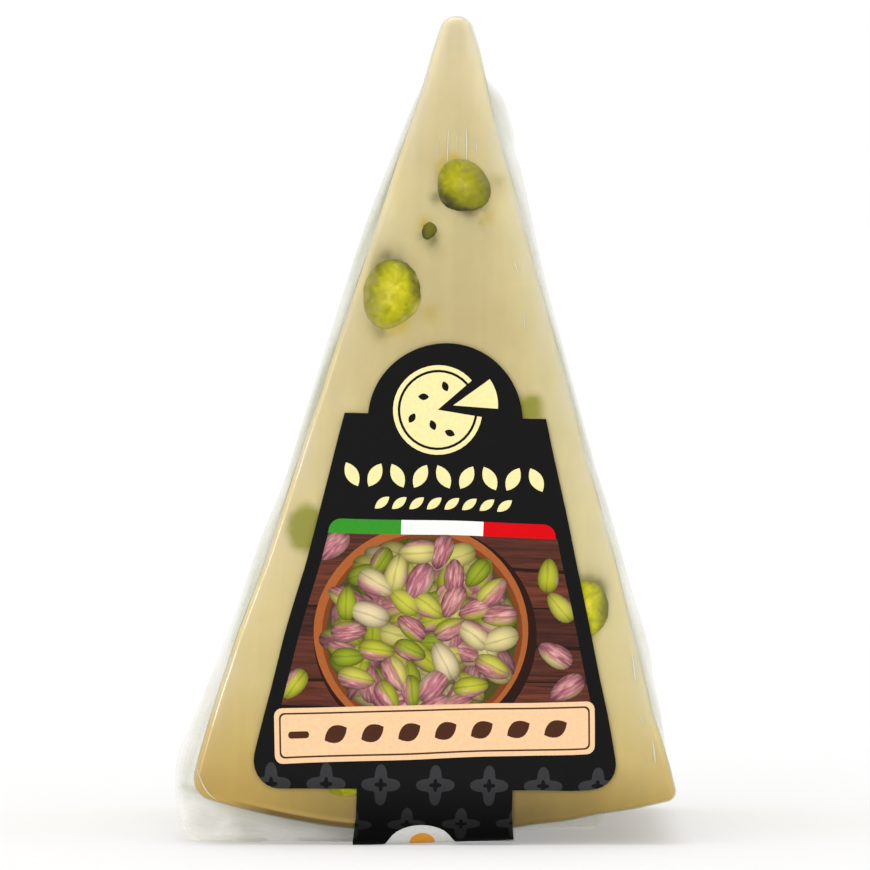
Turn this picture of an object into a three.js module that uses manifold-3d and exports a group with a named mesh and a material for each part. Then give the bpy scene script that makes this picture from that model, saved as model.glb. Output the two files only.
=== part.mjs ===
// A vacuum-packed wedge of pistachio pecorino that stands on the rim of its wheel, tip up.
//
// The wedge is a tenth of a small wheel. Its front and back are flat faces of the wheel, its left
// and right sides are the two knife cuts, and its foot is the curved rim. Clear film lies tight on
// the cheese and is welded in a thin flange that stands out all round, a little behind the front
// face. At the rim the flange hangs down as a skirt. Pistachio pieces show at every face, and a
// printed paper label runs from the front, under the rim and up the back.
//
// Units are millimetres. Everything is drawn in the wedge's own frame: the origin is the centre of
// the wheel, +z runs up along the middle of the wedge, x across it and y from front to back, so
// that a point at distance s below the wheel's centre has z = -s. The last group leans the wedge
// on its skirt and sets it on the floor, z = 0.

import * as THREE from 'three';
import { mergeVertices } from 'three/addons/utils/BufferGeometryUtils.js';
import Module from 'manifold-3d';

const solids = await Module();
solids.setup();

// ---- Driving dimensions ---------------------------------------------------------------------

const WHEEL_RADIUS = 100;          // a wheel 200 mm across
const WHEEL_HEIGHT = 65;           // front face to back face
const HALF_ANGLE = THREE.MathUtils.degToRad(16.75);
const TIP_ROUND = 1.7;             // radius of the tip, seen from the front
const LEFT_CORNER_ROUND = 3.4;     // lower left corner, the softer one
const RIGHT_CORNER_ROUND = 1.8;    // lower right corner
const EDGE_ROUND = 1.2;            // film drawn round the edges of the two flat faces

const STANDING_HEIGHT = 102;       // centre of the wheel above the floor
const LEAN = THREE.MathUtils.degToRad(1.65);   // the skirt props the wedge, so its tip leans right

const FLANGE_SETBACK = 6.5;        // middle of the welded flange, behind the front face
const FLANGE_THICK = 0.5;
const SKIRT_DROP = 8;              // how far the skirt is drawn before the floor cuts it off

const FOOT_HALF_WIDTH = 9;         // film gathered under the rim, over the label
const FOOT_INSET = 1.5;            // from the front and back faces

const PAPER = 0.35;                // thickness of the label
const GAP = 0.3;                   // between pieces that touch
const LABEL_ARCH_RADIUS = 9.1;
const LABEL_ARCH_CENTRE = 51.8;    // distances s below the wheel's centre
const LABEL_SHOULDER = 51.3;
const LABEL_SHOULDER_HALF_WIDTH = 11.8;
const LABEL_BOTTOM = 95.1;
const LABEL_BOTTOM_HALF_WIDTH = 22;
const LABEL_CORNER_ROUND = 3;
const TONGUE_HALF_WIDTH = 9.2;     // the strip that runs down and under the rim
const TONGUE_FOLD_HALF_WIDTH = 9.5;
const TONGUE_END = 100;            // the flat panels end here and the folded band takes over
const FOLD_RADIUS = 1.3;
const BACK_TOP = 58;
const BACK_TOP_HALF_WIDTH = 13;
const BACK_BOTTOM = 93;
const BACK_BOTTOM_HALF_WIDTH = 19.5;

// Pistachio pieces on the front: where they lie, how big they are, which way their length turns,
// how far their middle lies under the face and how pointed their lower end is.
const FRONT_NUTS = [
  { x: 1.3, s: 24.0, length: 6.6, width: 5.9, turn: 35, sink: 0.3, point: 0.1 },
  { x: -2.6, s: 29.6, length: 2.3, width: 1.7, turn: 20, sink: 0.1, point: 0.2 },
  { x: -6.7, s: 36.9, length: 8.0, width: 6.8, turn: 8, sink: 0.2, point: 0.35 },
  { x: -16.2, s: 64.7, length: 7.4, width: 5.0, turn: 4, sink: 0.5, point: 0.1 },
  { x: 9.9, s: 50.1, length: 5.6, width: 4.6, turn: -10, sink: 0.6, point: 0.2 },
  { x: 16.6, s: 73.7, length: 7.3, width: 6.6, turn: -12, sink: 0.1, point: 0.15 },
  { x: -10.6, s: 93.9, length: 6.2, width: 4.4, turn: 80, sink: 0.3, point: 0.1 },
];
const NUT_DEPTH = 5.2;             // a whole kernel's thickness
const SIDE_NUTS = 6;               // on each knife cut
const BACK_NUTS = 6;
const RIM_NUTS = [{ angle: -12, y: -14 }, { angle: 11.7, y: 3 }, { angle: -11.4, y: 19 }];
const NUT_TOP = 20;                // no piece lies nearer the wheel's centre on the unseen faces
const NUT_SPACING = 11;            // between the middles of two pieces
const NUT_EDGE_MARGIN = 6;         // from a piece's middle to the edge of its face
const NUT_SEED = 41;

const FRONT = -WHEEL_HEIGHT / 2;
const BACK = WHEEL_HEIGHT / 2;

// ---- Materials ------------------------------------------------------------------------------

const packFinish = new THREE.MeshStandardMaterial({ color: '#d6c492', roughness: 0.25, metalness: 0 });
const kernelFinish = new THREE.MeshStandardMaterial({ color: '#b9b03a', roughness: 0.5, metalness: 0 });
const paperFinish = new THREE.MeshStandardMaterial({ color: '#1c1c1c', roughness: 0.4, metalness: 0 });

// ---- Joining and cutting ----------------------------------------------------------------------

function toSolid(geometry) {
  const bare = geometry.clone();
  bare.deleteAttribute('normal');
  bare.deleteAttribute('uv');
  const merged = mergeVertices(bare, 1e-5);
  const mesh = new solids.Mesh({
    numProp: 3,
    vertProperties: new Float32Array(merged.attributes.position.array),
    triVerts: new Uint32Array(merged.index.array),
  });
  return new solids.Manifold(mesh);
}

function toGeometry(solid) {
  const mesh = solid.getMesh();
  const geometry = new THREE.BufferGeometry();
  geometry.setAttribute('position', new THREE.BufferAttribute(new Float32Array(mesh.vertProperties), 3));
  geometry.setIndex(new THREE.BufferAttribute(new Uint32Array(mesh.triVerts), 1));
  geometry.computeVertexNormals();
  return geometry;
}

// ---- Outlines, seen from the front: x across, -s upwards ----------------------------------------

function arc(x, s, radius, from, to, steps) {
  const points = [];
  for (let i = 0; i <= steps; i += 1) {
    const angle = from + ((to - from) * i) / steps;
    points.push(new THREE.Vector2(x + radius * Math.cos(angle), -s + radius * Math.sin(angle)));
  }
  return points;
}

// A plate with this outline, from y = near to y = far.
function plate(outline, near, far, round = 0, roundSteps = 3) {
  const geometry = new THREE.ExtrudeGeometry(new THREE.Shape(outline), {
    depth: far - near - 2 * round,
    bevelEnabled: round > 0,
    bevelThickness: round,
    bevelSize: round,
    bevelOffset: -round,
    bevelSegments: roundSteps,
  });
  geometry.rotateX(Math.PI / 2);
  geometry.translate(0, far - round, 0);
  return geometry;
}

function wedgeOutline() {
  const tipCentre = TIP_ROUND / Math.sin(HALF_ANGLE);
  const corner = (round) => {
    const out = WHEEL_RADIUS - round;
    const angle = HALF_ANGLE - Math.asin(round / out);
    return { x: out * Math.sin(angle), s: out * Math.cos(angle), angle };
  };
  const left = corner(LEFT_CORNER_ROUND);
  const right = corner(RIGHT_CORNER_ROUND);
  const down = 1.5 * Math.PI;
  return [
    ...arc(0, tipCentre, TIP_ROUND, HALF_ANGLE, Math.PI - HALF_ANGLE, 12),
    ...arc(-left.x, left.s, LEFT_CORNER_ROUND, Math.PI - HALF_ANGLE, down - left.angle, 8),
    ...arc(0, 0, WHEEL_RADIUS, down - left.angle, down + right.angle, 28).slice(1, -1),
    ...arc(right.x, right.s, RIGHT_CORNER_ROUND, down + right.angle, 2 * Math.PI + HALF_ANGLE, 8),
  ];
}

// Half width of the wedge at distance s below the wheel's centre.
const halfWidthAt = (s) => s * Math.tan(HALF_ANGLE);

// The flange as it was trimmed by hand. Each trim gives, from the tip down, the distance s and how
// far the edge stands out from the cheese there; the ear and the heel are points (x, s).
function flangeOutline() {
  const leftTrim = [[9, -0.6], [14, 0.35], [22, 1.0], [30, 1.25], [38, 1.15], [46, 1.1], [54, 0.9], [60, 0.9],
    [67, 1.45], [75, 1.5], [80, 1.7], [86, 2.1]];
  const ear = [[-29.4, 89.5], [-30.6, 92.5], [-30.8, 96], [-30.4, 99.8], [-29.4, 102], [-27.6, 103.6]];
  const rightTrim = [[8, -0.6], [11.2, 0.3], [13.1, 1.4], [14.6, 1.75], [17.4, 1.85], [19.9, 1.35], [22.4, 1.5],
    [28, 1.2], [36, 0.75], [42, 0.75], [50, 0.65], [57, 0.75], [62, 1.1], [70, 1.0], [78, 1.2], [82, 0.85],
    [86, 0.7], [90, 0.2], [94, -0.3]];
  const heel = [[24, 96.2], [21.2, 97], [20.4, 97.8], [19.9, 99.2], [19.2, 100], [9.8, 100.5]];
  const point = ([x, s]) => new THREE.Vector2(x, -s);
  const left = [...leftTrim.map(([s, out]) => [-halfWidthAt(s) - out, s]), ...ear].map(point);
  const right = rightTrim.map(([s, out]) => [halfWidthAt(s) + out, s]).map(point);
  return [
    ...new THREE.SplineCurve(left).getPoints(40),
    new THREE.Vector2(-10, -WHEEL_RADIUS - SKIRT_DROP),
    new THREE.Vector2(9.8, -WHEEL_RADIUS - SKIRT_DROP),
    ...heel.map(point).reverse(),
    ...new THREE.SplineCurve(right.reverse()).getPoints(46),
  ];
}

function labelOutline() {
  const lean = (LABEL_BOTTOM_HALF_WIDTH - LABEL_SHOULDER_HALF_WIDTH) / (LABEL_BOTTOM - LABEL_SHOULDER);
  const archFoot = Math.asin((LABEL_ARCH_CENTRE - LABEL_SHOULDER) / LABEL_ARCH_RADIUS);
  const arch = arc(0, LABEL_ARCH_CENTRE, LABEL_ARCH_RADIUS, archFoot, Math.PI - archFoot, 20);
  return [
    ...arch,
    ...panelSide(-1, LABEL_SHOULDER_HALF_WIDTH, LABEL_SHOULDER, LABEL_BOTTOM, lean),
    new THREE.Vector2(-TONGUE_HALF_WIDTH, -LABEL_BOTTOM),
    new THREE.Vector2(-TONGUE_HALF_WIDTH, -TONGUE_END),
    new THREE.Vector2(TONGUE_HALF_WIDTH, -TONGUE_END),
    new THREE.Vector2(TONGUE_HALF_WIDTH, -LABEL_BOTTOM),
    ...panelSide(1, LABEL_SHOULDER_HALF_WIDTH, LABEL_SHOULDER, LABEL_BOTTOM, lean).reverse(),
  ];
}

// One slanted side of a panel, from its square top corner to the end of its rounded bottom corner.
function panelSide(side, topHalfWidth, top, bottom, lean) {
  const slope = Math.atan(lean);
  const centreS = bottom - LABEL_CORNER_ROUND;
  const centreX = topHalfWidth + (centreS - top) * lean - LABEL_CORNER_ROUND / Math.cos(slope);
  const corner = arc(centreX, centreS, LABEL_CORNER_ROUND, slope, -Math.PI / 2, 6);
  return [new THREE.Vector2(topHalfWidth, -top), ...corner].map((p) => new THREE.Vector2(side * p.x, p.y));
}

function backLabelOutline() {
  const lean = (BACK_BOTTOM_HALF_WIDTH - BACK_TOP_HALF_WIDTH) / (BACK_BOTTOM - BACK_TOP);
  const round = LABEL_CORNER_ROUND;
  const x = BACK_TOP_HALF_WIDTH - round;
  return [
    ...arc(x, BACK_TOP + round, round, 0, Math.PI / 2, 6),
    ...arc(-x, BACK_TOP + round, round, Math.PI / 2, Math.PI, 6),
    ...panelSide(-1, BACK_TOP_HALF_WIDTH, BACK_TOP + round, BACK_BOTTOM, lean).slice(1),
    new THREE.Vector2(-TONGUE_HALF_WIDTH, -BACK_BOTTOM),
    new THREE.Vector2(-TONGUE_HALF_WIDTH, -TONGUE_END),
    new THREE.Vector2(TONGUE_HALF_WIDTH, -TONGUE_END),
    new THREE.Vector2(TONGUE_HALF_WIDTH, -BACK_BOTTOM),
    ...panelSide(1, BACK_TOP_HALF_WIDTH, BACK_TOP + round, BACK_BOTTOM, lean).slice(1).reverse(),
  ];
}

// ---- Things that lie square to the floor, brought into the leaning frame ------------------------

// Their x is measured from where the wedge's middle line meets the floor.
function fromFloorFrame(geometry) {
  geometry.translate(-STANDING_HEIGHT * Math.tan(LEAN), 0, -STANDING_HEIGHT);
  geometry.rotateY(-LEAN);
  return geometry;
}

function floorBlock(width, depth, bottom, top) {
  const block = new THREE.BoxGeometry(width, depth, top - bottom);
  block.translate(0, 0, (top + bottom) / 2);
  return toSolid(fromFloorFrame(block));
}

// ---- Pistachio pieces ---------------------------------------------------------------------------

// Where a face lies: its outward direction, its upward direction, and the point on it at (a, b).
const FACES = {
  front: {
    out: new THREE.Vector3(0, -1, 0),
    at: (x, s) => new THREE.Vector3(x, FRONT, -s),
  },
  back: {
    out: new THREE.Vector3(0, 1, 0),
    at: (x, s) => new THREE.Vector3(x, BACK, -s),
  },
  left: {
    out: new THREE.Vector3(-Math.cos(HALF_ANGLE), 0, Math.sin(HALF_ANGLE)),
    at: (y, r) => new THREE.Vector3(-r * Math.sin(HALF_ANGLE), y, -r * Math.cos(HALF_ANGLE)),
  },
  right: {
    out: new THREE.Vector3(Math.cos(HALF_ANGLE), 0, Math.sin(HALF_ANGLE)),
    at: (y, r) => new THREE.Vector3(r * Math.sin(HALF_ANGLE), y, -r * Math.cos(HALF_ANGLE)),
  },
};

// A kernel: an egg shape whose lower end narrows, its length along z and its cut side towards +y.
function kernel(nut, grow) {
  const egg = new THREE.SphereGeometry(1, 12, 8);
  egg.rotateX(Math.PI / 2);
  const position = egg.attributes.position;
  for (let i = 0; i < position.count; i += 1) {
    const z = position.getZ(i);
    const narrow = 1 - nut.point * Math.max(0, -z) ** 1.5;
    position.setX(i, position.getX(i) * narrow);
    position.setY(i, position.getY(i) * narrow);
  }
  egg.scale(nut.width / 2 + grow, NUT_DEPTH / 2 + grow, nut.length / 2 + grow);
  egg.rotateY(THREE.MathUtils.degToRad(nut.turn));
  return egg;
}

function placeOnFace(geometry, point, out, sink) {
  const side = new THREE.Vector3(0, 1, 0);
  if (Math.abs(out.y) > 0.5) side.set(1, 0, 0);
  const up = new THREE.Vector3().crossVectors(side, out).normalize();
  if (up.z < 0) up.negate();
  const across = new THREE.Vector3().crossVectors(out, up);
  const place = new THREE.Matrix4().makeBasis(across, out, up);
  place.setPosition(point.clone().addScaledVector(out, -sink));
  return geometry.applyMatrix4(place);
}

// A seeded draw of numbers from 0 to 1, the same on every run.
function draw(seed) {
  let state = seed;
  return () => {
    state = (state * 1664525 + 1013904223) % 4294967296;
    return state / 4294967296;
  };
}

// Pieces scattered on a face, apart from each other and clear of its edges.
function scatter(face, count, random, region) {
  const placed = [];
  while (placed.length < count) {
    const { a, b } = region(random);
    const apart = placed.every((other) => Math.hypot(other.a - a, other.b - b) > NUT_SPACING);
    if (apart) {
      placed.push({
        a,
        b,
        length: 6 + 2.4 * random(),
        width: 4.6 + 2 * random(),
        turn: 180 * random() - 90,
        sink: 0.9 * random(),
        point: 0.3 * random(),
      });
    }
  }
  return placed.map((nut) => ({ ...nut, spot: FACES[face].at(nut.a, nut.b), out: FACES[face].out }));
}

function allNuts() {
  const random = draw(NUT_SEED);
  const behindFlange = FRONT + FLANGE_SETBACK + NUT_EDGE_MARGIN;
  const onCut = (pick) => ({
    a: behindFlange + (BACK - NUT_EDGE_MARGIN - behindFlange) * pick(),
    b: NUT_TOP + (WHEEL_RADIUS - NUT_EDGE_MARGIN - NUT_TOP) * Math.sqrt(pick()),
  });
  const onBack = (pick) => {
    // Above the back label, or beside it and partly under it.
    const s = NUT_TOP + (WHEEL_RADIUS - 1.5 * NUT_EDGE_MARGIN - NUT_TOP) * pick();
    const outer = halfWidthAt(s) - 0.75 * NUT_EDGE_MARGIN;
    const inner = s > BACK_TOP - NUT_EDGE_MARGIN / 2 ? outer - 1.5 : 0;
    const side = pick() < 0.5 ? -1 : 1;
    return { a: side * (inner + (outer - inner) * pick()), b: s };
  };
  const front = FRONT_NUTS.map((nut) => ({ ...nut, spot: FACES.front.at(nut.x, nut.s), out: FACES.front.out }));
  const rim = RIM_NUTS.map(({ angle, y }) => {
    const round = THREE.MathUtils.degToRad(angle);
    const out = new THREE.Vector3(Math.sin(round), 0, -Math.cos(round));
    const spot = out.clone().multiplyScalar(WHEEL_RADIUS).setY(y);
    return { length: 6 + 2 * random(), width: 5, turn: 90 * random(), sink: 0.6, point: 0.1, spot, out };
  });
  return [
    ...front,
    ...scatter('left', SIDE_NUTS, random, onCut),
    ...scatter('right', SIDE_NUTS, random, onCut),
    ...scatter('back', BACK_NUTS, random, onBack),
    ...rim,
  ];
}

// ---- The pieces ---------------------------------------------------------------------------------

function foldedBand() {
  // The label's strip seen from the side: down the front, under the rim and up the back.
  const reach = STANDING_HEIGHT - TONGUE_END + 1.5;
  const front = FRONT - GAP - PAPER;
  const back = BACK + GAP + PAPER;
  const profile = (offset) => [
    new THREE.Vector2(front + offset, reach),
    ...bend(front + FOLD_RADIUS, FOLD_RADIUS - offset, Math.PI, 1.5 * Math.PI),
    ...bend(back - FOLD_RADIUS, FOLD_RADIUS - offset, 1.5 * Math.PI, 2 * Math.PI),
    new THREE.Vector2(back - offset, reach),
  ];
  const outline = [...profile(0), ...profile(PAPER).reverse()];
  const width = 4 * TONGUE_HALF_WIDTH;
  const band = new THREE.ExtrudeGeometry(new THREE.Shape(outline), { depth: width, bevelEnabled: false });
  // The profile's (y, z) plane stands upright, and the band runs across in x.
  band.applyMatrix4(new THREE.Matrix4().set(0, 0, 1, -width / 2, 1, 0, 0, 0, 0, 1, 0, 0, 0, 0, 0, 1));
  return toSolid(fromFloorFrame(band));
}

function bend(y, radius, from, to) {
  const points = [];
  for (let i = 0; i <= 6; i += 1) {
    const angle = from + ((to - from) * i) / 6;
    points.push(new THREE.Vector2(y + radius * Math.cos(angle), FOLD_RADIUS + radius * Math.sin(angle)));
  }
  return points;
}

function tonguePrism() {
  const foldOutline = [
    new THREE.Vector2(-TONGUE_HALF_WIDTH, -TONGUE_END + 2),
    new THREE.Vector2(-TONGUE_FOLD_HALF_WIDTH, -STANDING_HEIGHT - 2),
    new THREE.Vector2(TONGUE_FOLD_HALF_WIDTH, -STANDING_HEIGHT - 2),
    new THREE.Vector2(TONGUE_HALF_WIDTH, -TONGUE_END + 2),
  ];
  return toSolid(plate(foldOutline, FRONT - 5, BACK + 5));
}

function makeLabel() {
  const front = toSolid(plate(labelOutline(), FRONT - GAP - PAPER, FRONT - GAP));
  const back = toSolid(plate(backLabelOutline(), BACK + GAP, BACK + GAP + PAPER));
  return front.add(back).add(foldedBand().intersect(tonguePrism()));
}

function makePack(core, nuts) {
  const flangeFront = FRONT + FLANGE_SETBACK - FLANGE_THICK / 2;
  const flange = toSolid(plate(flangeOutline(), flangeFront, flangeFront + FLANGE_THICK));
  const depth = WHEEL_HEIGHT - 2 * FOOT_INSET;
  const foot = floorBlock(2 * FOOT_HALF_WIDTH, depth, 0, STANDING_HEIGHT - WHEEL_RADIUS + 2);
  const underLabel = floorBlock(2 * (TONGUE_FOLD_HALF_WIDTH + GAP), 2 * WHEEL_HEIGHT, -9, PAPER + GAP);
  const aboveFloor = floorBlock(200, 200, 0, 200);
  let pack = core.add(flange).add(foot).subtract(underLabel).intersect(aboveFloor);
  for (const nut of nuts) {
    pack = pack.subtract(toSolid(placeOnFace(kernel(nut, GAP), nut.spot, nut.out, nut.sink)));
  }
  return pack;
}

// ---- Assembly -----------------------------------------------------------------------------------

function addPiece(parent, name, solid, finish) {
  const mesh = new THREE.Mesh(toGeometry(solid), finish);
  mesh.name = name;
  parent.add(mesh);
}

const wedge = new THREE.Group();
wedge.position.z = STANDING_HEIGHT;
wedge.rotation.y = LEAN;

const core = toSolid(plate(wedgeOutline(), FRONT, BACK, EDGE_ROUND));
const nuts = allNuts();
addPiece(wedge, 'vacuum_pack', makePack(core, nuts), packFinish);
addPiece(wedge, 'label', makeLabel(), paperFinish);
nuts.forEach((nut, i) => {
  const whole = toSolid(placeOnFace(kernel(nut, 0), nut.spot, nut.out, nut.sink));
  addPiece(wedge, `pistachio_${String(i + 1).padStart(2, '0')}`, whole.intersect(core), kernelFinish);
});

const pecorino = new THREE.Group();
pecorino.add(wedge);

export default pecorino;
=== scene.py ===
# A vacuum-packed wedge of pistachio pecorino that stands on its rim, tip up.
#
# The cheese lies inside a tight clear film, which is welded in a flange all round and hangs down as
# a skirt at the rim. A printed paper label runs from the front, under the rim and up the back.
#
# Lengths are millimetres in the wedge's own frame: x across, y from front to back and s down from
# the centre of the wheel that the wedge was cut from. set_down() and label_point() turn them into
# metres on the floor.

import math
import random

import bmesh
import bpy
import numpy as np
from mathutils import Matrix, Vector, geometry, kdtree, noise


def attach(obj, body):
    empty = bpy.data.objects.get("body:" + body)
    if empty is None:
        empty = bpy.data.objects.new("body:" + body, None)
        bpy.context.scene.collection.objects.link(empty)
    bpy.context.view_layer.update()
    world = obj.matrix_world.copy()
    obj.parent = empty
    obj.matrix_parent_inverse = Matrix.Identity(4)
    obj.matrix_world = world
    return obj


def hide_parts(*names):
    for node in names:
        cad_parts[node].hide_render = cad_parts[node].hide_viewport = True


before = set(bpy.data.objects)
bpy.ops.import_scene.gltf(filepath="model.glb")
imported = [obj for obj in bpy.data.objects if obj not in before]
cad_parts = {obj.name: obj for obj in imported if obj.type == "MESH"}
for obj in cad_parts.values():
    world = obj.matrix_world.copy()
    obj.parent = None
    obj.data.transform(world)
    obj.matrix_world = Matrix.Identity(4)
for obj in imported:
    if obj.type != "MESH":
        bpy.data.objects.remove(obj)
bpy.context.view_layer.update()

# ---- Sizes, in millimetres ----------------------------------------------------------------------

MM = 0.001
WHEEL_RADIUS = 100.0
FRONT, BACK = -32.5, 32.5
HALF_ANGLE = math.radians(16.75)
TIP_ROUND, LEFT_CORNER_ROUND, RIGHT_CORNER_ROUND = 1.7, 2.5, 1.3
SHARPEST = 0.25             # no corner is sharper, however far inside the film
EDGE_ROUND = 0.8            # film drawn round the edges of the flat faces
CHEESE_INSET = 0.15         # the cheese under its film
NUT_INSET = 0.05            # cut nuts stand a hair proud of the cheese
VEILED_INSET = 0.4          # nuts that a skin of cheese still covers

STANDING_HEIGHT = 102.0     # centre of the wheel above the floor
LEAN = math.radians(1.65)   # the skirt props the left side
COS, SIN = math.cos(LEAN), math.sin(LEAN)

FLANGE_Y = -26.0
FLANGE_THICK = 0.2
FLANGE_ROOT = 1.8           # how far the weld reaches in under the film on the cheese
FOOT_HALF_WIDTH, FOOT_HALF_DEPTH = 9.0, 31.0

LABEL_Y = 32.74             # the label's printed side, from the middle of the wedge
PAPER = 0.16
FOLD_RADIUS = 1.3
TONGUE_HALF_WIDTH, TONGUE_FOLD_HALF_WIDTH = 9.2, 9.5

SEED = 7


# ---- Places -------------------------------------------------------------------------------------

# How far the knife cuts bulge beyond the straight, by the distance s: the left cut and the right.
BULGE_AT = (0, 4, 8, 14, 24, 44, 54, 69, 78, 86, 92, 99)
LEFT_BULGE = (0, 0.22, 0.3, 0.1, 0.1, 0.12, -0.15, 0, 0.48, 0.5, 0.4, 0)
RIGHT_BULGE = (0, 0.22, 0.35, 0.05, -0.05, -0.13, -0.2, -0.38, -0.45, -0.45, -0.1, 0)
# How far the right cut is pressed in along its edge, low down, by the distance s.
PRESSED_AT = (44, 54, 69, 78, 86, 88.5, 92)
PRESSED_IN = (0, 0.1, 0.22, 0.47, 0.83, 0.38, 0)
PRESSED_WIDTH = 5.0
# How far the rim sags beyond its circle, by the distance x.
SAG_AT = (-32, -12, 0, 8.5, 12, 16, 19, 24)
RIM_SAG = (1.05, 0.95, 0.6, 0.3, 0, 0, -0.25, 0)
SAG_START, SAG_REACH = 84, 15           # the wheel's radius where the sag sets in, and how gradually
# Wide, shallow dents: how far apart and how deep. Low down they die out, so that the foot stays flat.
DENT_SPACING, DENT_DEPTH = 11.0, 0.14
DENTS_END, DENTS_FADE = 99.0, 5.0


def share(value):
    """A number held between 0 and 1."""
    return min(1.0, max(0.0, value))


def level(value, stops, levels):
    """The level that goes with a value, in straight lines from stop to stop."""
    return float(np.interp(value, stops, levels))


def half_width(s):
    return s * math.tan(HALF_ANGLE)


def sag(x):
    return level(x, SAG_AT, RIM_SAG)


def sunk_at(x, s):
    """How far a point sinks with the rim: not at all high up, and by all of the sag at the rim."""
    low = share((math.hypot(x, s) - SAG_START) / SAG_REACH)
    return sag(x) * low * low


def drift(x, y, s):
    """How far film and cheese wander from the drawn wedge: bulges, a sagging rim, and wide dents."""
    fade = share((DENTS_END - s) / DENTS_FADE)
    dent = noise.noise_vector(Vector((x, y, s)) / DENT_SPACING) * DENT_DEPTH * fade
    half = max(0.5, half_width(s))
    bulge = level(s, BULGE_AT, LEFT_BULGE if x < 0 else RIGHT_BULGE) * min(1.2, x * x / (half * half))
    at_edge = max(0.0, 1 - max(0.0, half - x) / PRESSED_WIDTH)
    pressed = level(s, PRESSED_AT, PRESSED_IN) * at_edge
    return dent + Vector((math.copysign(bulge, x) - pressed, 0, sunk_at(x, s)))


def on_floor(x, y, s):
    return Vector((x * COS - s * SIN, y, STANDING_HEIGHT - s * COS - x * SIN)) * MM


def set_down(x, y, s):
    """The wedge's point (x, y, s), dents and all, in metres on the floor."""
    return on_floor(*(Vector((x, y, s)) + drift(x, y, s)))


def in_wedge(point):
    """The wedge's (x, y, s) of a point given in metres."""
    x, y, z = point / MM
    below = STANDING_HEIGHT - z
    return Vector((x * COS + below * SIN, y, below * COS - x * SIN))


def arc(x, s, radius, start, end, steps):
    """Points on an arc round (x, s). Its angles run from the right, anticlockwise as seen from the front."""
    turns = [start + (end - start) * i / steps for i in range(steps + 1)]
    return [(x + radius * math.cos(t), s - radius * math.sin(t)) for t in turns]


def evenly(start, end, steps):
    """Points between two others, without the ends."""
    return [tuple(a + (b - a) * i / steps for a, b in zip(start, end)) for i in range(1, steps)]


def sector(inset):
    """The wedge's outline at this distance inside its film. Every inset has as many points, and the
    straight cuts bow out a hair."""
    def cut(start, end, side):
        steps, bow_depth = 66, 0.04
        bows = [bow_depth * 4 * i * (steps - i) / steps ** 2 for i in range(1, steps)]
        return [(x + side * bow, s) for (x, s), bow in zip(evenly(start, end, steps), bows)]

    def corner(rounding):
        radius = max(rounding - inset, SHARPEST)
        out = WHEEL_RADIUS - inset - radius
        turn = HALF_ANGLE - math.asin((inset + radius) / out)
        return out * math.sin(turn), out * math.cos(turn), radius, turn

    radius = max(TIP_ROUND - inset, SHARPEST)
    tip = arc(0, (inset + radius) / math.sin(HALF_ANGLE), radius, HALF_ANGLE, math.pi - HALF_ANGLE, 14)
    x, s, radius, turn = corner(LEFT_CORNER_ROUND)
    down = 1.5 * math.pi
    left = arc(-x, s, radius, math.pi - HALF_ANGLE, down - turn, 9)
    x, s, radius, right_turn = corner(RIGHT_CORNER_ROUND)
    rim = arc(0, 0, WHEEL_RADIUS - inset, down - turn, down + right_turn, 44)[1:-1]
    right = arc(x, s, radius, down + right_turn, 2 * math.pi + HALF_ANGLE, 9)
    return tip + cut(tip[-1], left[0], -1) + left + rim + right + cut(right[-1], tip[0], 1)


def spline(points, count):
    """A smooth line through points, in this many pieces."""
    line = []
    last = len(points) - 1
    for i in range(count + 1):
        at = last * i / count
        k = min(int(at), last - 1)
        t = at - k
        before, a, b, after = (np.array(points[min(max(j, 0), last)]) for j in (k - 1, k, k + 1, k + 2))
        leave, reach = (b - before) / 2, (after - a) / 2
        cubed, squared = 2 * a - 2 * b + leave + reach, 3 * b - 3 * a - 2 * leave - reach
        p = cubed * t ** 3 + squared * t ** 2 + leave * t + a
        line.append(tuple(float(c) for c in p))
    return line


def dense(outline, step):
    """The same closed outline with points no more than about step(point) apart."""
    points = []
    for a, b in zip(outline, outline[1:] + outline[:1]):
        steps = max(1, round(math.dist(a, b) / step(a)))
        points += [a] + evenly(a, b, steps)
    return points


# ---- Meshes -------------------------------------------------------------------------------------

def in_scene(name, data):
    """A new object in the scene."""
    thing = bpy.data.objects.new(name, data)
    bpy.context.scene.collection.objects.link(thing)
    return thing


def give(mesh, values):
    """Stores named numbers, one for each of the mesh's corners."""
    for key, amounts in values.items():
        mesh.attributes.new(key, "FLOAT", "POINT").data.foreach_set("value", amounts)


def near_finder(points):
    """A tree that finds the nearest of these flat or solid points."""
    tree = kdtree.KDTree(len(points))
    for i, point in enumerate(points):
        tree.insert((*point, 0)[:3], i)
    tree.balance()
    return tree


def between_rings(rings, count):
    """Faces that join rings of as many corners each, every ring to the next."""
    faces = []
    for r in range(rings - 1):
        for i in range(count):
            j = (i + 1) % count
            faces.append((r * count + i, r * count + j, (r + 1) * count + j, (r + 1) * count + i))
    return faces


def within(points, outline):
    """Which of the flat points lie inside the outline."""
    x, y = np.asarray(points, float).T
    inside = np.zeros(len(x), bool)
    for (x1, y1), (x2, y2) in zip(outline, outline[1:] + outline[:1]):
        if y1 != y2:
            inside ^= ((y1 > y) != (y2 > y)) & (x < (x2 - x1) * (y - y1) / (y2 - y1) + x1)
    return inside


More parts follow.
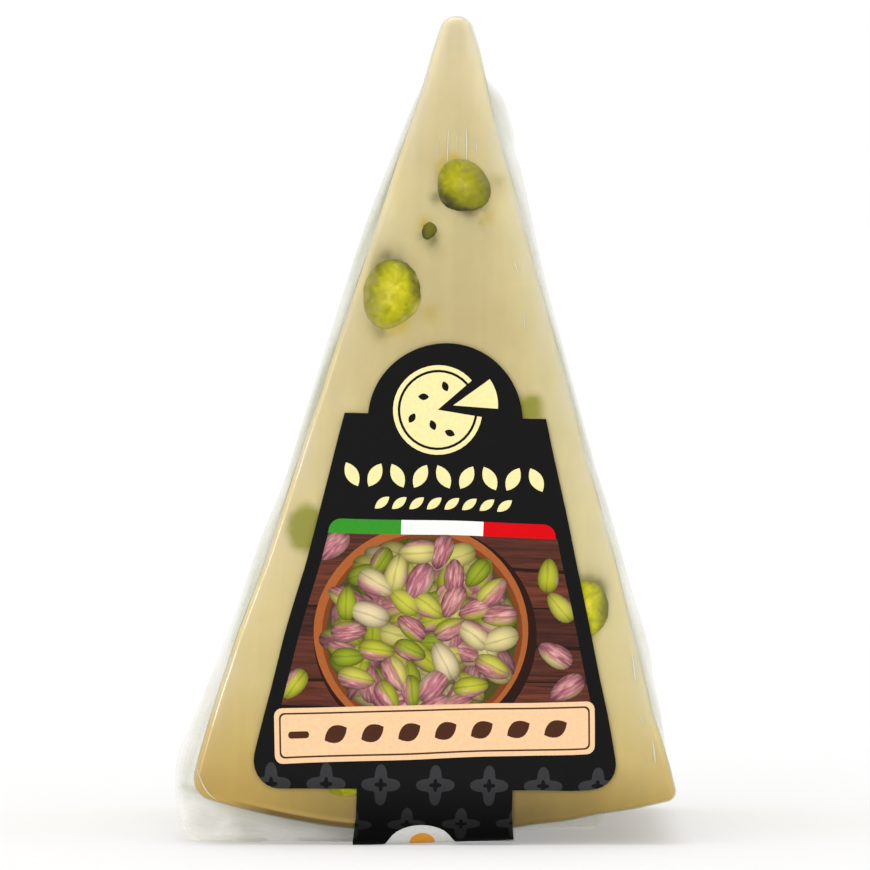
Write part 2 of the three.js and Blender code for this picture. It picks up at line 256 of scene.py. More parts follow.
def fill_flat(outlines, spacing, inside, extra=()):
    """Triangles over a flat region, with the outlines' lines kept and points a spacing apart between."""
    points, lines = [], []
    for outline in outlines:
        first, count = len(points), len(outline)
        points += [Vector(p) for p in outline]
        lines += [(first + i, first + (i + 1) % count) for i in range(count)]
    # Points of the fill keep clear of the whole line, or slivers between them would spoil the shading.
    guards = [p for outline in outlines for p in dense(outline, lambda p: 0.4 * spacing)]
    tree = near_finder(guards)
    low, high = np.min(guards, axis=0), np.max(guards, axis=0)
    rows, columns = np.arange(low[1], high[1], spacing * 0.87), np.arange(low[0], high[0], spacing)
    grid = [(x + spacing / 2 * (j % 2), y) for j, y in enumerate(rows) for x in columns]
    grid = [p for p, kept in zip(grid, inside(grid)) if kept and tree.find((*p, 0))[2] > 0.55 * spacing]
    grid += [p for p in extra if tree.find((*p, 0))[2] > 0.15 * spacing]
    flat, _, triangles, *_ = geometry.delaunay_2d_cdt(points + [Vector(p) for p in grid], lines, [], 0, 1e-6)
    flat, triangles = np.array([p[:] for p in flat]), np.array(triangles)
    return flat, triangles[inside(flat[triangles].mean(axis=1))]


def new_piece(name, corners, faces, finishes, crease, picks=None, values=None):
    """A closed piece from its corners in metres, smooth but at edges sharper than the crease angle.
    picks gives each face's finish, and values gives named numbers for its corners."""
    mesh = bpy.data.meshes.new(name)
    mesh.from_pydata(corners, [], faces)
    for finish in finishes:
        mesh.materials.append(finish)
    if picks is not None:
        mesh.polygons.foreach_set("material_index", picks)
    give(mesh, values or {})
    piece = in_scene(name, mesh)
    tidy(piece, crease)
    return piece


def tidy(piece, crease=40):
    """Merges doubles, drops loose corners, turns faces outwards and smooths all but sharp edges."""
    bm = bmesh.new()
    bm.from_mesh(piece.data)
    bmesh.ops.remove_doubles(bm, verts=bm.verts, dist=0.002 * MM)
    bmesh.ops.dissolve_degenerate(bm, edges=bm.edges, dist=0.0005 * MM)
    bmesh.ops.delete(bm, geom=[v for v in bm.verts if not v.link_faces], context="VERTS")
    bmesh.ops.recalc_face_normals(bm, faces=bm.faces)
    for face in bm.faces:
        face.smooth = True
    for edge in bm.edges:
        edge.smooth = edge.calc_face_angle(0) < math.radians(crease)
    bm.to_mesh(piece.data)
    bm.free()


def sheet_mesh(flat, triangles, at, thickness):
    """Corners and faces of a thin closed sheet, and the number of faces round its rim, which come last.
    at(u, v, height) places its outer side at height 0."""
    count = len(flat)
    corners = [at(u, v, 0.0) for u, v in flat] + [at(u, v, -thickness) for u, v in flat]
    sides = {}
    for triangle in triangles:
        for a, b in zip(triangle, np.roll(triangle, -1)):
            sides[(int(a), int(b))] = True
    rim = [(a, b) for a, b in sides if (b, a) not in sides]
    faces = [tuple(map(int, t)) for t in triangles]
    faces += [tuple(int(i) + count for i in t[::-1]) for t in triangles]
    faces += [(b, a, a + count, b + count) for a, b in rim]
    return corners, faces, len(rim)


def as_plain_mesh(piece, name):
    """What a piece's modifiers make of it, as a plain mesh of its own. The piece itself goes."""
    bpy.context.view_layer.update()
    seen = piece.evaluated_get(bpy.context.evaluated_depsgraph_get())
    mesh = bpy.data.meshes.new_from_object(seen)
    mesh.name = name
    plain = in_scene(name, mesh)
    bpy.data.objects.remove(piece)
    return plain


# ---- Nodes --------------------------------------------------------------------------------------

def linear(code):
    """An sRGB hex colour as linear RGBA."""
    channels = [int(code[i:i + 2], 16) / 255 for i in (1, 3, 5)]
    return [c / 12.92 if c <= 0.04045 else ((c + 0.055) / 1.055) ** 2.4 for c in channels] + [1.0]


def add(tree, kind, settings=None):
    """Adds a node. A setting is one of the node's properties, an input by name or number, or a ramp's
    stops. An input takes a number, a hex colour, or another node or output that is linked to it."""
    node = tree.nodes.new(kind)
    for key, value in (settings or {}).items():
        if key == "stops":
            ramp, (first, *between, last) = node.color_ramp, value
            ramp.elements[0].position, ramp.elements[0].color = first[0], linear(first[1])
            ramp.elements[1].position, ramp.elements[1].color = last[0], linear(last[1])
            for position, colour in between:
                ramp.elements.new(position).color = linear(colour)
        elif isinstance(key, str) and key in node.bl_rna.properties:
            setattr(node, key, value)
        elif isinstance(value, bpy.types.Node):
            tree.links.new(value.outputs[0], node.inputs[key])
        elif isinstance(value, bpy.types.NodeSocket):
            tree.links.new(value, node.inputs[key])
        else:
            colour = isinstance(value, str) and value.startswith("#")
            node.inputs[key].default_value = linear(value) if colour else value
    return node


A, B, MIXED = 6, 7, 2       # a colour Mix node's inputs and output


def new_tree(name, inputs):
    """An empty tree of geometry nodes, with named inputs of these kinds."""
    tree = bpy.data.node_groups.new(name, "GeometryNodeTree")
    tree.interface.new_socket("Geometry", in_out="OUTPUT", socket_type="NodeSocketGeometry")
    for key, kind in {"Geometry": "Geometry", **inputs}.items():
        tree.interface.new_socket(key, in_out="INPUT", socket_type="NodeSocket" + kind)
    return tree


def grown(tree, carrier, name, inputs):
    """What a tree makes of its carrier, as a plain mesh. The carrier goes."""
    modifier = carrier.modifiers.new(tree.name, "NODES")
    modifier.node_group = tree
    sockets = {item.name: item.identifier for item in tree.interface.items_tree if item.in_out == "INPUT"}
    for key, value in inputs.items():
        modifier[sockets[key]] = value
    return as_plain_mesh(carrier, name)


def new_finish(name):
    material = bpy.data.materials.new(name)
    material.use_nodes = True
    material.node_tree.nodes.clear()
    return material, material.node_tree


def wedge_mm(tree):
    """Coordinates that stand with the wedge, in millimetres from the centre of the wheel, z = -s."""
    here = add(tree, "ShaderNodeTexCoord").outputs["Object"]
    return add(tree, "ShaderNodeMapping", {
        "vector_type": "TEXTURE", "Vector": here, "Location": (0, 0, STANDING_HEIGHT * MM),
        "Rotation": (0, LEAN, 0), "Scale": (MM, MM, MM)})


# ---- Finishes -----------------------------------------------------------------------------------

def pecorino_paste():
    """Sheep's cheese cut with a wire: pale and moist towards the middle of the wheel, more golden and dry
    towards the wheel's outside, with cloudy mottling, faint smears down from the tip and a fine grain."""
    material, tree = new_finish("pecorino_paste")
    where = wedge_mm(tree)
    across = add(tree, "ShaderNodeVectorMath", {
        "operation": "MULTIPLY", 0: where, 1: (1 / WHEEL_RADIUS, 0, 1 / WHEEL_RADIUS)})
    radius = add(tree, "ShaderNodeVectorMath", {"operation": "LENGTH", 0: across}).outputs["Value"]
    cloud = add(tree, "ShaderNodeTexNoise", {"Vector": where, "Scale": 1 / 14, "Detail": 3.0})
    uneven = add(tree, "ShaderNodeMath", {"operation": "MULTIPLY_ADD", 0: cloud, 1: 0.05, 2: -0.025})
    depth = add(tree, "ShaderNodeMath", {"operation": "ADD", 0: radius, 1: uneven})
    paste = add(tree, "ShaderNodeValToRGB", {"Fac": depth, "stops": [
        (0.04, "#dccfa6"), (0.12, "#d8c99c"), (0.2, "#d0c190"), (0.28, "#d1c392"), (0.4, "#c9b986"),
        (0.6, "#cdbd8a"), (0.75, "#cfbe88"), (0.86, "#ccb87c"), (0.93, "#c5ac67"), (1.0, "#b69a52")]})
    # Towards the middle of the foot the paste is painted darkest: painted shade near the label's tongue and
    # the floor.
    foot = add(tree, "ShaderNodeVectorMath", {
        "operation": "SUBTRACT", 0: where, 1: (5, 0, -STANDING_HEIGHT)})
    foot_flat = add(tree, "ShaderNodeVectorMath", {"operation": "MULTIPLY", 0: foot, 1: (1 / 24, 0, 1 / 11)})
    foot_reach = add(tree, "ShaderNodeVectorMath", {"operation": "LENGTH", 0: foot_flat}).outputs["Value"]
    foot_shade = add(tree, "ShaderNodeMapRange", {0: foot_reach, 1: 0.35, 2: 1.2, 3: 0.36, 4: 1.0})
    mottle = add(tree, "ShaderNodeTexNoise", {
        "Vector": where, "Scale": 1 / 4.5, "Detail": 5.0, "Roughness": 0.6})
    lighter = add(tree, "ShaderNodeMapRange", {0: mottle, 1: 0.3, 2: 0.7, 3: 0.95, 4: 1.04})
    long_way = add(tree, "ShaderNodeMapping", {"Vector": where, "Scale": (1 / 1.6, 1 / 1.6, 1 / 22)})
    smear = add(tree, "ShaderNodeTexNoise", {"Vector": long_way, "Scale": 1.0, "Detail": 2.0})
    smeared = add(tree, "ShaderNodeMapRange", {0: smear, 1: 0.35, 2: 0.7, 3: 0.97, 4: 1.025})
    # Towards the two cuts the paste shows paler: partly its own tone, partly painted light, with the middle
    # left in painted shade.
    beside = add(tree, "ShaderNodeAttribute", {"attribute_name": "beside"}).outputs["Fac"]
    paler = add(tree, "ShaderNodeMapRange", {0: beside, 1: 0.35, 2: 0.9, 3: 1.0, 4: 1.13})
    even = add(tree, "ShaderNodeMath", {"operation": "MULTIPLY", 0: lighter, 1: smeared})
    evener = add(tree, "ShaderNodeMath", {"operation": "MULTIPLY", 0: even, 1: paler})
    bright = add(tree, "ShaderNodeMath", {"operation": "MULTIPLY", 0: evener, 1: foot_shade})
    toned = add(tree, "ShaderNodeVectorMath", {"operation": "SCALE", 0: paste, "Scale": bright.outputs[0]})
    # Along the cuts, above all on the right, the paste is mixed towards a duller, paler yellow.
    dried = add(tree, "ShaderNodeAttribute", {"attribute_name": "dried"}).outputs["Fac"]
    paled = add(tree, "ShaderNodeMix", {"data_type": "RGBA", 0: dried, A: toned, B: "#dcd9b0"})
    # Left of the label and behind it painted shade runs along the rim, where its rounded underside turns
    # away from the light: a brown line under a paler painted highlight.
    sunk = add(tree, "ShaderNodeAttribute", {"attribute_name": "sunk"}).outputs["Fac"]
    full = add(tree, "ShaderNodeMath", {"operation": "MULTIPLY", 0: radius, 1: WHEEL_RADIUS})
    unsunk = add(tree, "ShaderNodeMath", {"operation": "SUBTRACT", 0: full, 1: sunk})
    rind = add(tree, "ShaderNodeAttribute", {"attribute_name": "rind"}).outputs["Fac"]
    pale = add(tree, "ShaderNodeMapRange", {0: unsunk, 1: 98.6, 2: 99.0, 3: 0.0, 4: 0.35})
    pale_here = add(tree, "ShaderNodeMath", {"operation": "MULTIPLY", 0: pale.outputs[0], 1: rind})
    edged = add(tree, "ShaderNodeMix", {
        "data_type": "RGBA", 0: pale_here, A: paled.outputs[MIXED], B: "#c9ac68"})
    line = add(tree, "ShaderNodeMapRange", {0: unsunk, 1: 99.15, 2: 99.35, 3: 0.0, 4: 0.85})
    line_here = add(tree, "ShaderNodeMath", {"operation": "MULTIPLY", 0: line.outputs[0], 1: rind})
    rim_shaded = add(tree, "ShaderNodeMix", {
        "data_type": "RGBA", 0: line_here, A: edged.outputs[MIXED], B: "#5e4724"})
    # Oil and skin of the nuts colour the cheese round them, and nuts show through a thin veil of it. The
    # same mask also carries crumbs, smears and painted shadows beside the nuts.
    stain = add(tree, "ShaderNodeAttribute", {"attribute_name": "stain"}).outputs["Fac"]
    skin = add(tree, "ShaderNodeAttribute", {"attribute_name": "stain_tone"}).outputs["Fac"]
    stain_and_shade_colour = add(tree, "ShaderNodeValToRGB", {"Fac": skin, "stops": [
        (0.0, "#c6af52"), (0.5, "#a0914a"), (1.0, "#6f6431")]})
    stained_and_shaded = add(tree, "ShaderNodeMix", {
        "data_type": "RGBA", 0: stain, A: rim_shaded.outputs[MIXED], B: stain_and_shade_colour})
    bruise = add(tree, "ShaderNodeAttribute", {"attribute_name": "bruise"}).outputs["Fac"]
    veil = add(tree, "ShaderNodeValToRGB", {"Fac": bruise, "stops": [(0.3, "#a69d4b"), (0.9, "#939218")]})
    veiled = add(tree, "ShaderNodeMix", {"data_type": "RGBA", 0: bruise, A: stained_and_shaded.outputs[MIXED], B: veil})
    grain = add(tree, "ShaderNodeTexNoise", {"Vector": where, "Scale": 1 / 0.35, "Detail": 3.0})
    relief = add(tree, "ShaderNodeBump", {"Strength": 0.25, "Distance": 0.05 * MM, "Height": grain})
    surface = add(tree, "ShaderNodeBsdfPrincipled", {
        "Base Color": veiled.outputs[MIXED], "Roughness": 0.5, "IOR": 1.45, "Specular IOR Level": 0.2,
        "Subsurface Weight": 0.35, "Subsurface Radius": (2.4, 1.6, 0.8), "Subsurface Scale": MM,
        "Normal": relief})
    add(tree, "ShaderNodeOutputMaterial", {"Surface": surface})
    return material


def vacuum_film():
    """Clear polyamide and polyethylene film, drawn tight: all but invisible from the front, with a
    wet gloss at the edges and soft waves that break it up."""
    material, tree = new_finish("vacuum_film")
    where = wedge_mm(tree)
    long_way = add(tree, "ShaderNodeMapping", {"Vector": where, "Scale": (1 / 2.5, 1 / 2.5, 1 / 8)})
    wave = add(tree, "ShaderNodeTexNoise", {"Vector": long_way, "Scale": 1.0, "Detail": 1.0})
    edge = add(tree, "ShaderNodeAttribute", {"attribute_name": "edge"}).outputs["Fac"]
    creased = add(tree, "ShaderNodeMath", {"operation": "MULTIPLY_ADD", 0: edge, 1: 0.3, 2: 0.04})
    relief = add(tree, "ShaderNodeBump", {"Strength": creased, "Distance": 0.1 * MM, "Height": wave})
    gloss = add(tree, "ShaderNodeLayerWeight", {"Blend": 0.15, "Normal": relief})
    shiny = add(tree, "ShaderNodeMapRange", {
        0: gloss.outputs["Fresnel"], 1: 0.015, 2: 1.0, 3: 0.004, 4: 0.55})
    # Near the edges the film lifts a little off the cheese, and its milkiness shows.
    lift = add(tree, "ShaderNodeAttribute", {"attribute_name": "lift"}).outputs["Fac"]
    broken = add(tree, "ShaderNodeMapRange", {0: wave, 1: 0.35, 2: 0.65, 3: 0.25, 4: 1.5})
    milky = add(tree, "ShaderNodeMath", {"operation": "MULTIPLY", 0: lift, 1: broken.outputs[0]})
    amount = add(tree, "ShaderNodeMath", {"operation": "ADD", 0: shiny, 1: milky})
    # Seen edge-on, the clear film is tinted grey: partly its own absorption, partly painted shade for darker
    # surroundings reflected at the edges.
    tone = add(tree, "ShaderNodeValToRGB", {"Fac": gloss.outputs["Facing"], "stops": [
        (0.0, "#ffffff"), (0.5, "#f2f3ea"), (0.95, "#c2c4b6")]})
    clear = add(tree, "ShaderNodeBsdfTransparent", {"Color": tone})
    shine = add(tree, "ShaderNodeBsdfPrincipled", {
        "Base Color": "#ffffff", "Metallic": 1.0, "Roughness": 0.16, "Normal": relief})
    both = add(tree, "ShaderNodeMixShader", {0: amount.outputs[0], 1: clear, 2: shine})
    add(tree, "ShaderNodeOutputMaterial", {"Surface": both})
    return material


def welded_film():
    """Two films welded together and trimmed by hand: milky and soft, with a ripple of gloss."""
    material, tree = new_finish("welded_film")
    where = wedge_mm(tree)
    # Streaks along the trimmed edge, about 1 mm wide and 15 mm long.
    beyond = add(tree, "ShaderNodeAttribute", {"attribute_name": "beyond"}).outputs["Fac"]
    run = add(tree, "ShaderNodeVectorMath", {"operation": "DOT_PRODUCT", 0: where, 1: (0.06, 0, 0.06)})
    place = add(tree, "ShaderNodeCombineXYZ", {"X": beyond, "Y": run.outputs["Value"]})
    streak = add(tree, "ShaderNodeTexNoise", {"Vector": place, "Scale": 1.0, "Detail": 1.0})
    body = add(tree, "ShaderNodeMapRange", {0: streak, 1: 0.35, 2: 0.65, 3: 0.42, 4: 0.66})
    long_way = add(tree, "ShaderNodeMapping", {"Vector": where, "Scale": (1 / 1.4, 1 / 1.4, 1 / 5)})
    ripple = add(tree, "ShaderNodeTexNoise", {"Vector": long_way, "Scale": 1.0, "Detail": 1.0})
    relief = add(tree, "ShaderNodeBump", {"Strength": 0.1, "Distance": 0.1 * MM, "Height": ripple})
    clear = add(tree, "ShaderNodeBsdfTransparent", {"Color": "#fdfdfb"})
    margin = add(tree, "ShaderNodeAttribute", {"attribute_name": "margin"}).outputs["Fac"]
    streaky = add(tree, "ShaderNodeMath", {"operation": "MULTIPLY_ADD", 0: streak, 1: -0.5, 2: 0.25})
    shift = add(tree, "ShaderNodeMath", {"operation": "ADD", 0: margin, 1: streaky})
    tone = add(tree, "ShaderNodeValToRGB", {"Fac": shift, "stops": [
        (0.0, "#bdbda8"), (0.25, "#cfd1c2"), (0.6, "#e4e6dd"), (1.0, "#f3f3f0")]})
    milk = add(tree, "ShaderNodeBsdfPrincipled", {
        "Base Color": tone, "Roughness": 0.22, "IOR": 1.5, "Normal": relief})
    # The trimmed edge is thin and all but clear.
    inside = add(tree, "ShaderNodeAttribute", {"attribute_name": "inside"}).outputs["Fac"]
    there = add(tree, "ShaderNodeMath", {
        "operation": "MULTIPLY", "use_clamp": True, 0: body.outputs[0], 1: inside})
    both = add(tree, "ShaderNodeMixShader", {0: there, 1: clear, 2: milk})
    add(tree, "ShaderNodeOutputMaterial", {"Surface": both})
    return material


def pistachio_kernel():
    """Cut pistachio kernels: waxy yellow-green flesh in streaks, and a thin darker skin on one side."""
    material, tree = new_finish("pistachio_kernel")
    where = wedge_mm(tree)
    rim = add(tree, "ShaderNodeAttribute", {"attribute_name": "rim"}).outputs["Fac"]
    ragged = add(tree, "ShaderNodeTexNoise", {
        "Vector": where, "Scale": 1 / 1.3, "Detail": 4.0, "Distortion": 0.8})
    frayed = add(tree, "ShaderNodeMath", {"operation": "MULTIPLY_ADD", 0: ragged, 1: 1.2, 2: -0.6})
    edge = add(tree, "ShaderNodeMath", {"operation": "ADD", 0: rim, 1: frayed})
    flesh = add(tree, "ShaderNodeValToRGB", {"Fac": edge, "stops": [
        (0.0, "#d8cd42"), (0.35, "#c8c01c"), (0.7, "#b3b005"), (1.0, "#97930e")]})
    # On one side the brown-green skin shows, and on the other cheese has smeared over the edge.
    skin = add(tree, "ShaderNodeAttribute", {"attribute_name": "skin"}).outputs["Fac"]
    skinned = add(tree, "ShaderNodeMix", {"data_type": "RGBA", 0: skin, A: flesh, B: "#55521c"})
    smear = add(tree, "ShaderNodeAttribute", {"attribute_name": "smear"}).outputs["Fac"]
    smeared = add(tree, "ShaderNodeMix", {
        "data_type": "RGBA", 0: smear, A: skinned.outputs[MIXED], B: "#b8ac50"})
    fleck = add(tree, "ShaderNodeTexNoise", {
        "Vector": where, "Scale": 1 / 0.9, "Detail": 4.0, "Roughness": 0.6, "Distortion": 0.8})
    light = add(tree, "ShaderNodeMapRange", {0: fleck, 1: 0.3, 2: 0.7, 3: 0.78, 4: 1.18})
    # Each nut's own lightness, times painted light that makes one side of it lighter.
    ripe_and_lit = add(tree, "ShaderNodeAttribute", {"attribute_name": "ripeness"}).outputs["Fac"]
    both_lights = add(tree, "ShaderNodeMath", {"operation": "MULTIPLY", 0: light.outputs[0], 1: ripe_and_lit})
    toned = add(tree, "ShaderNodeVectorMath", {
        "operation": "SCALE", 0: smeared.outputs[MIXED], "Scale": both_lights.outputs[0]})
    relief = add(tree, "ShaderNodeBump", {"Strength": 0.3, "Distance": 0.08 * MM, "Height": fleck})
    surface = add(tree, "ShaderNodeBsdfPrincipled", {
        "Base Color": toned, "Roughness": 0.5, "IOR": 1.47, "Specular IOR Level": 0.06,
        "Subsurface Weight": 0.2, "Subsurface Radius": (1.0, 0.9, 0.3), "Subsurface Scale": MM,
        "Normal": relief})
    add(tree, "ShaderNodeOutputMaterial", {"Surface": surface})
    return material


def printed_paper(name, colour, dark=False):
    """Satin-coated label paper with one printed ink: an even tone with a trace of paper fibre. Dark
    inks get painted shade towards the tongue, where the label turns down to the floor."""
    material, tree = new_finish(name)
    where = wedge_mm(tree)
    fibre = add(tree, "ShaderNodeTexNoise", {"Vector": where, "Scale": 1 / 0.4, "Detail": 3.0})
    light = add(tree, "ShaderNodeMapRange", {0: fibre, 1: 0.3, 2: 0.7, 3: 0.95, 4: 1.05})
    low = add(tree, "ShaderNodeSeparateXYZ", {"Vector": where}).outputs["Z"]
    # Painted shade: dark inks darken towards the tongue, low down near the floor.
    tongue_shade = add(tree, "ShaderNodeMapRange", {
        0: low, 1: -100.0, 2: -94.0, 3: 0.25 if dark else 1.0, 4: 1.0})
    both = add(tree, "ShaderNodeMath", {
        "operation": "MULTIPLY", 0: light.outputs[0], 1: tongue_shade.outputs[0]})
    ink = add(tree, "ShaderNodeVectorMath", {"operation": "SCALE", 0: linear(colour)[:3], "Scale": both})
    relief = add(tree, "ShaderNodeBump", {"Strength": 0.12, "Distance": 0.03 * MM, "Height": fibre})
    surface = add(tree, "ShaderNodeBsdfPrincipled", {
        "Base Color": ink, "Roughness": 0.45, "Specular IOR Level": 0.02 if dark else 0.08,
        "Normal": relief})
    add(tree, "ShaderNodeOutputMaterial", {"Surface": surface})
    return material


def printed_board(name, dark, light):
    """A printed picture of a stained wooden board, its grain running across the label."""
    material, tree = new_finish(name)
    long_way = add(tree, "ShaderNodeMapping", {"Vector": wedge_mm(tree), "Scale": (1 / 6, 1 / 6, 1 / 0.35)})
    grain = add(tree, "ShaderNodeTexNoise", {
        "Vector": long_way, "Scale": 1.0, "Detail": 4.0, "Distortion": 0.6})
    wood = add(tree, "ShaderNodeValToRGB", {"Fac": grain, "stops": [(0.3, dark), (0.72, light)]})
    surface = add(tree, "ShaderNodeBsdfPrincipled", {
        "Base Color": wood, "Roughness": 0.45, "Specular IOR Level": 0.15})
    add(tree, "ShaderNodeOutputMaterial", {"Surface": surface})
    return material


def printed_kernel():
    """Printed pistachio kernels: green, yellow or buff flesh, with rose skin over one side of most,
    streaked lengthwise, and each shaded towards its edge and its seam."""
    material, tree = new_finish("printed_kernel")
    tint, rim, across, along, lit = (
        add(tree, "ShaderNodeAttribute", {"attribute_name": name}).outputs["Fac"]
        for name in ("tint", "rim", "across", "along", "lit"))
    own = add(tree, "ShaderNodeMath", {"operation": "MULTIPLY", 0: tint, 1: 60.0})
    place = add(tree, "ShaderNodeCombineXYZ", {"X": along, "Y": across, "Z": own})
    long_way = add(tree, "ShaderNodeMapping", {"Vector": place, "Scale": (0.9, 2.6, 1.0)})
    streak = add(tree, "ShaderNodeTexNoise", {"Vector": long_way, "Scale": 1.6, "Detail": 3.0})
    flesh = add(tree, "ShaderNodeValToRGB", {"Fac": tint, "stops": [
        (0.0, "#8c9c22"), (0.3, "#b3b52e"), (0.6, "#cfc75a"), (0.8, "#d5c684"), (1.0, "#dcc9a0")]})
    other = add(tree, "ShaderNodeMath", {"operation": "MULTIPLY", 0: tint, 1: 7.3})
    second = add(tree, "ShaderNodeMath", {"operation": "FRACT", 0: other})
    reach = add(tree, "ShaderNodeMath", {"operation": "MULTIPLY_ADD", 0: second, 1: 2.4, 2: -1.1})
    side = add(tree, "ShaderNodeMath", {"operation": "ADD", 0: across, 1: reach})
    ragged = add(tree, "ShaderNodeMath", {"operation": "MULTIPLY_ADD", 0: streak, 1: 1.6, 2: -0.8})
    skin_edge = add(tree, "ShaderNodeMath", {"operation": "ADD", 0: side, 1: ragged})
    rosy = add(tree, "ShaderNodeMapRange", {0: skin_edge, 1: 0.0, 2: 0.55, 3: 0.0, 4: 0.92})
    rose = add(tree, "ShaderNodeValToRGB", {"Fac": streak, "stops": [
        (0.3, "#8d3c58"), (0.45, "#b05f74"), (0.6, "#cf8f93"), (0.75, "#e6bfb4")]})
    both = add(tree, "ShaderNodeMix", {"data_type": "RGBA", 0: rosy.outputs[0], A: flesh, B: rose})
    round_off = add(tree, "ShaderNodeMath", {"operation": "POWER", 0: rim, 1: 2.2})
    edge_dark = add(tree, "ShaderNodeMapRange", {0: round_off, 1: 0.0, 2: 1.0, 3: 1.1, 4: 0.3})
    shade = add(tree, "ShaderNodeMath", {"operation": "MULTIPLY", 0: edge_dark.outputs[0], 1: lit})
    off_seam = add(tree, "ShaderNodeMath", {"operation": "MULTIPLY_ADD", 0: streak, 1: 0.4, 2: across})
    from_seam = add(tree, "ShaderNodeMath", {"operation": "SUBTRACT", 0: off_seam, 1: 0.1})
    seam_gap = add(tree, "ShaderNodeMath", {"operation": "ABSOLUTE", 0: from_seam})
    seam = add(tree, "ShaderNodeMapRange", {0: seam_gap, 1: 0.0, 2: 0.14, 3: 0.66, 4: 1.0})
    light = add(tree, "ShaderNodeMath", {"operation": "MULTIPLY", 0: shade, 1: seam.outputs[0]})
    toned = add(tree, "ShaderNodeVectorMath", {
        "operation": "SCALE", 0: both.outputs[MIXED], "Scale": light.outputs[0]})
    surface = add(tree, "ShaderNodeBsdfPrincipled", {
        "Base Color": toned, "Roughness": 0.45, "Specular IOR Level": 0.12})
    add(tree, "ShaderNodeOutputMaterial", {"Surface": surface})
    return material


def studio_floor():
    """White card on a light table, as white as the backdrop, with soft shadows. The table is brighter
    further out, where the overhead lamp doesn't reach."""
    material, tree = new_finish("studio_floor")
    where = add(tree, "ShaderNodeTexCoord").outputs["Object"]
    away = add(tree, "ShaderNodeVectorMath", {"operation": "LENGTH", 0: where}).outputs["Value"]
    glow = add(tree, "ShaderNodeMapRange", {0: away, 1: 0.1, 2: 1.4, 3: 0.33, 4: 0.5})
    surface = add(tree, "ShaderNodeBsdfPrincipled", {
        "Base Color": "#c1c1c1", "Roughness": 1.0, "Specular IOR Level": 0.0,
        "Emission Color": "#ffffff", "Emission Strength": glow.outputs[0]})
    add(tree, "ShaderNodeOutputMaterial", {"Surface": surface})
    return material


# ---- The nuts -----------------------------------------------------------------------------------

# Front nuts under a thin veil of cheese: where they show through, half of their width and height, and
# how much more veil there is for each millimetre further left.
VEILED = {"pistachio_04": ((-16.2, 65.1), (2.6, 2.9), 0.22),
          "pistachio_05": ((9.8, 50.0), (1.45, 1.35), 0.0)}
# Which way the bare skin of a front nut faces, in degrees from the right, how dark it is, how light
# the flesh is and how much cheese is smeared over it. Then the way painted light falls on the flesh,
# making that side lighter, and by how much.
SKIN_SIDES = {"pistachio_01": (252, 1.0, 0.73, 0.7, 130, 0.4),
              "pistachio_02": (300, 0.8, 0.3, 0.5, 90, 0.3),
              "pistachio_03": (72, 0.85, 1.0, 0.9, 60, 0.22),
              "pistachio_06": (40, 0.6, 1.22, 0.0, 200, 0.15),
              "pistachio_07": (200, 0.2, 1.0, 0.3, 90, 0.0)}
# Painted light: one side of each of the other nuts is painted lighter.
OTHERS_PAINTED_LIGHT = 0.15        # how much lighter one side of the other nuts is
# Front nuts that lie turned, in degrees, and bulge some ways: (x, s) directions and millimetres.
SHAPED = {"pistachio_01": (0, [((0.9, 0.4), 0.5), ((-0.6, 0.8), 0.4)]),
          "pistachio_02": (35, [((0.7, -0.7), 0.2)]),
          "pistachio_03": (16, [((-0.32, 0.95), 0.9), ((0.85, 0.5), 0.45)])}
# Crumbs, smears and painted shadows on the front beside the nuts: x, s, radius, strength and tone.
SMEARS_AND_SHADOWS = [(4.1, 27.5, 0.9, 0.9, 0.1), (3.6, 28.6, 0.5, 0.7, 0.3), (4.9, 23.9, 1.3, 0.45, 0.6),
          (-2.2, 39.4, 1.2, 0.6, 0.2), (-7.9, 41.2, 1.5, 0.6, 0.7), (-1.7, 25.6, 0.7, 0.9, 1.0),
          (-3.4, 30.2, 0.5, 0.4, 0.9), (-2.4, 31.3, 0.5, 0.2, 0.7)]


def outward_at(point):
    """The face of the wedge nearest to a point (x, y, s): its outward direction and the depth under it."""
    x, y, s = point
    side = Vector((math.cos(HALF_ANGLE), 0, -math.sin(HALF_ANGLE)))
    radius = math.hypot(x, s)
    faces = [
        (y - FRONT, Vector((0, -1, 0))),
        (BACK - y, Vector((0, 1, 0))),
        (-(x * side.x + s * side.z), side),
        (-(-x * side.x + s * side.z), Vector((-side.x, 0, side.z))),
        (WHEEL_RADIUS - radius, Vector((x / radius, 0, s / radius))),
    ]
    return min(faces, key=lambda face: face[0])


def visible_face(drawn):
    """Which way a nut's visible face looks, its centre, and its long and short way with half of each."""
    _, out = outward_at(sum(drawn, Vector()) / len(drawn))
    face = [p for p in drawn if outward_at(p)[0] < 0.05]
    centre = sum(face, Vector()) / len(face)
    spread = np.array([(p - centre)[:] for p in face])
    powers, ways = np.linalg.eigh(spread.T @ spread / len(face))
    return out, centre, [(Vector(ways[:, i]), math.sqrt(2 * powers[i])) for i in (1, 2)]


def elliptic(offset, axes):
    """How far out a point is, where 1 is the edge of the visible face."""
    return math.sqrt(sum((offset.dot(way) / half) ** 2 for way, half in axes))


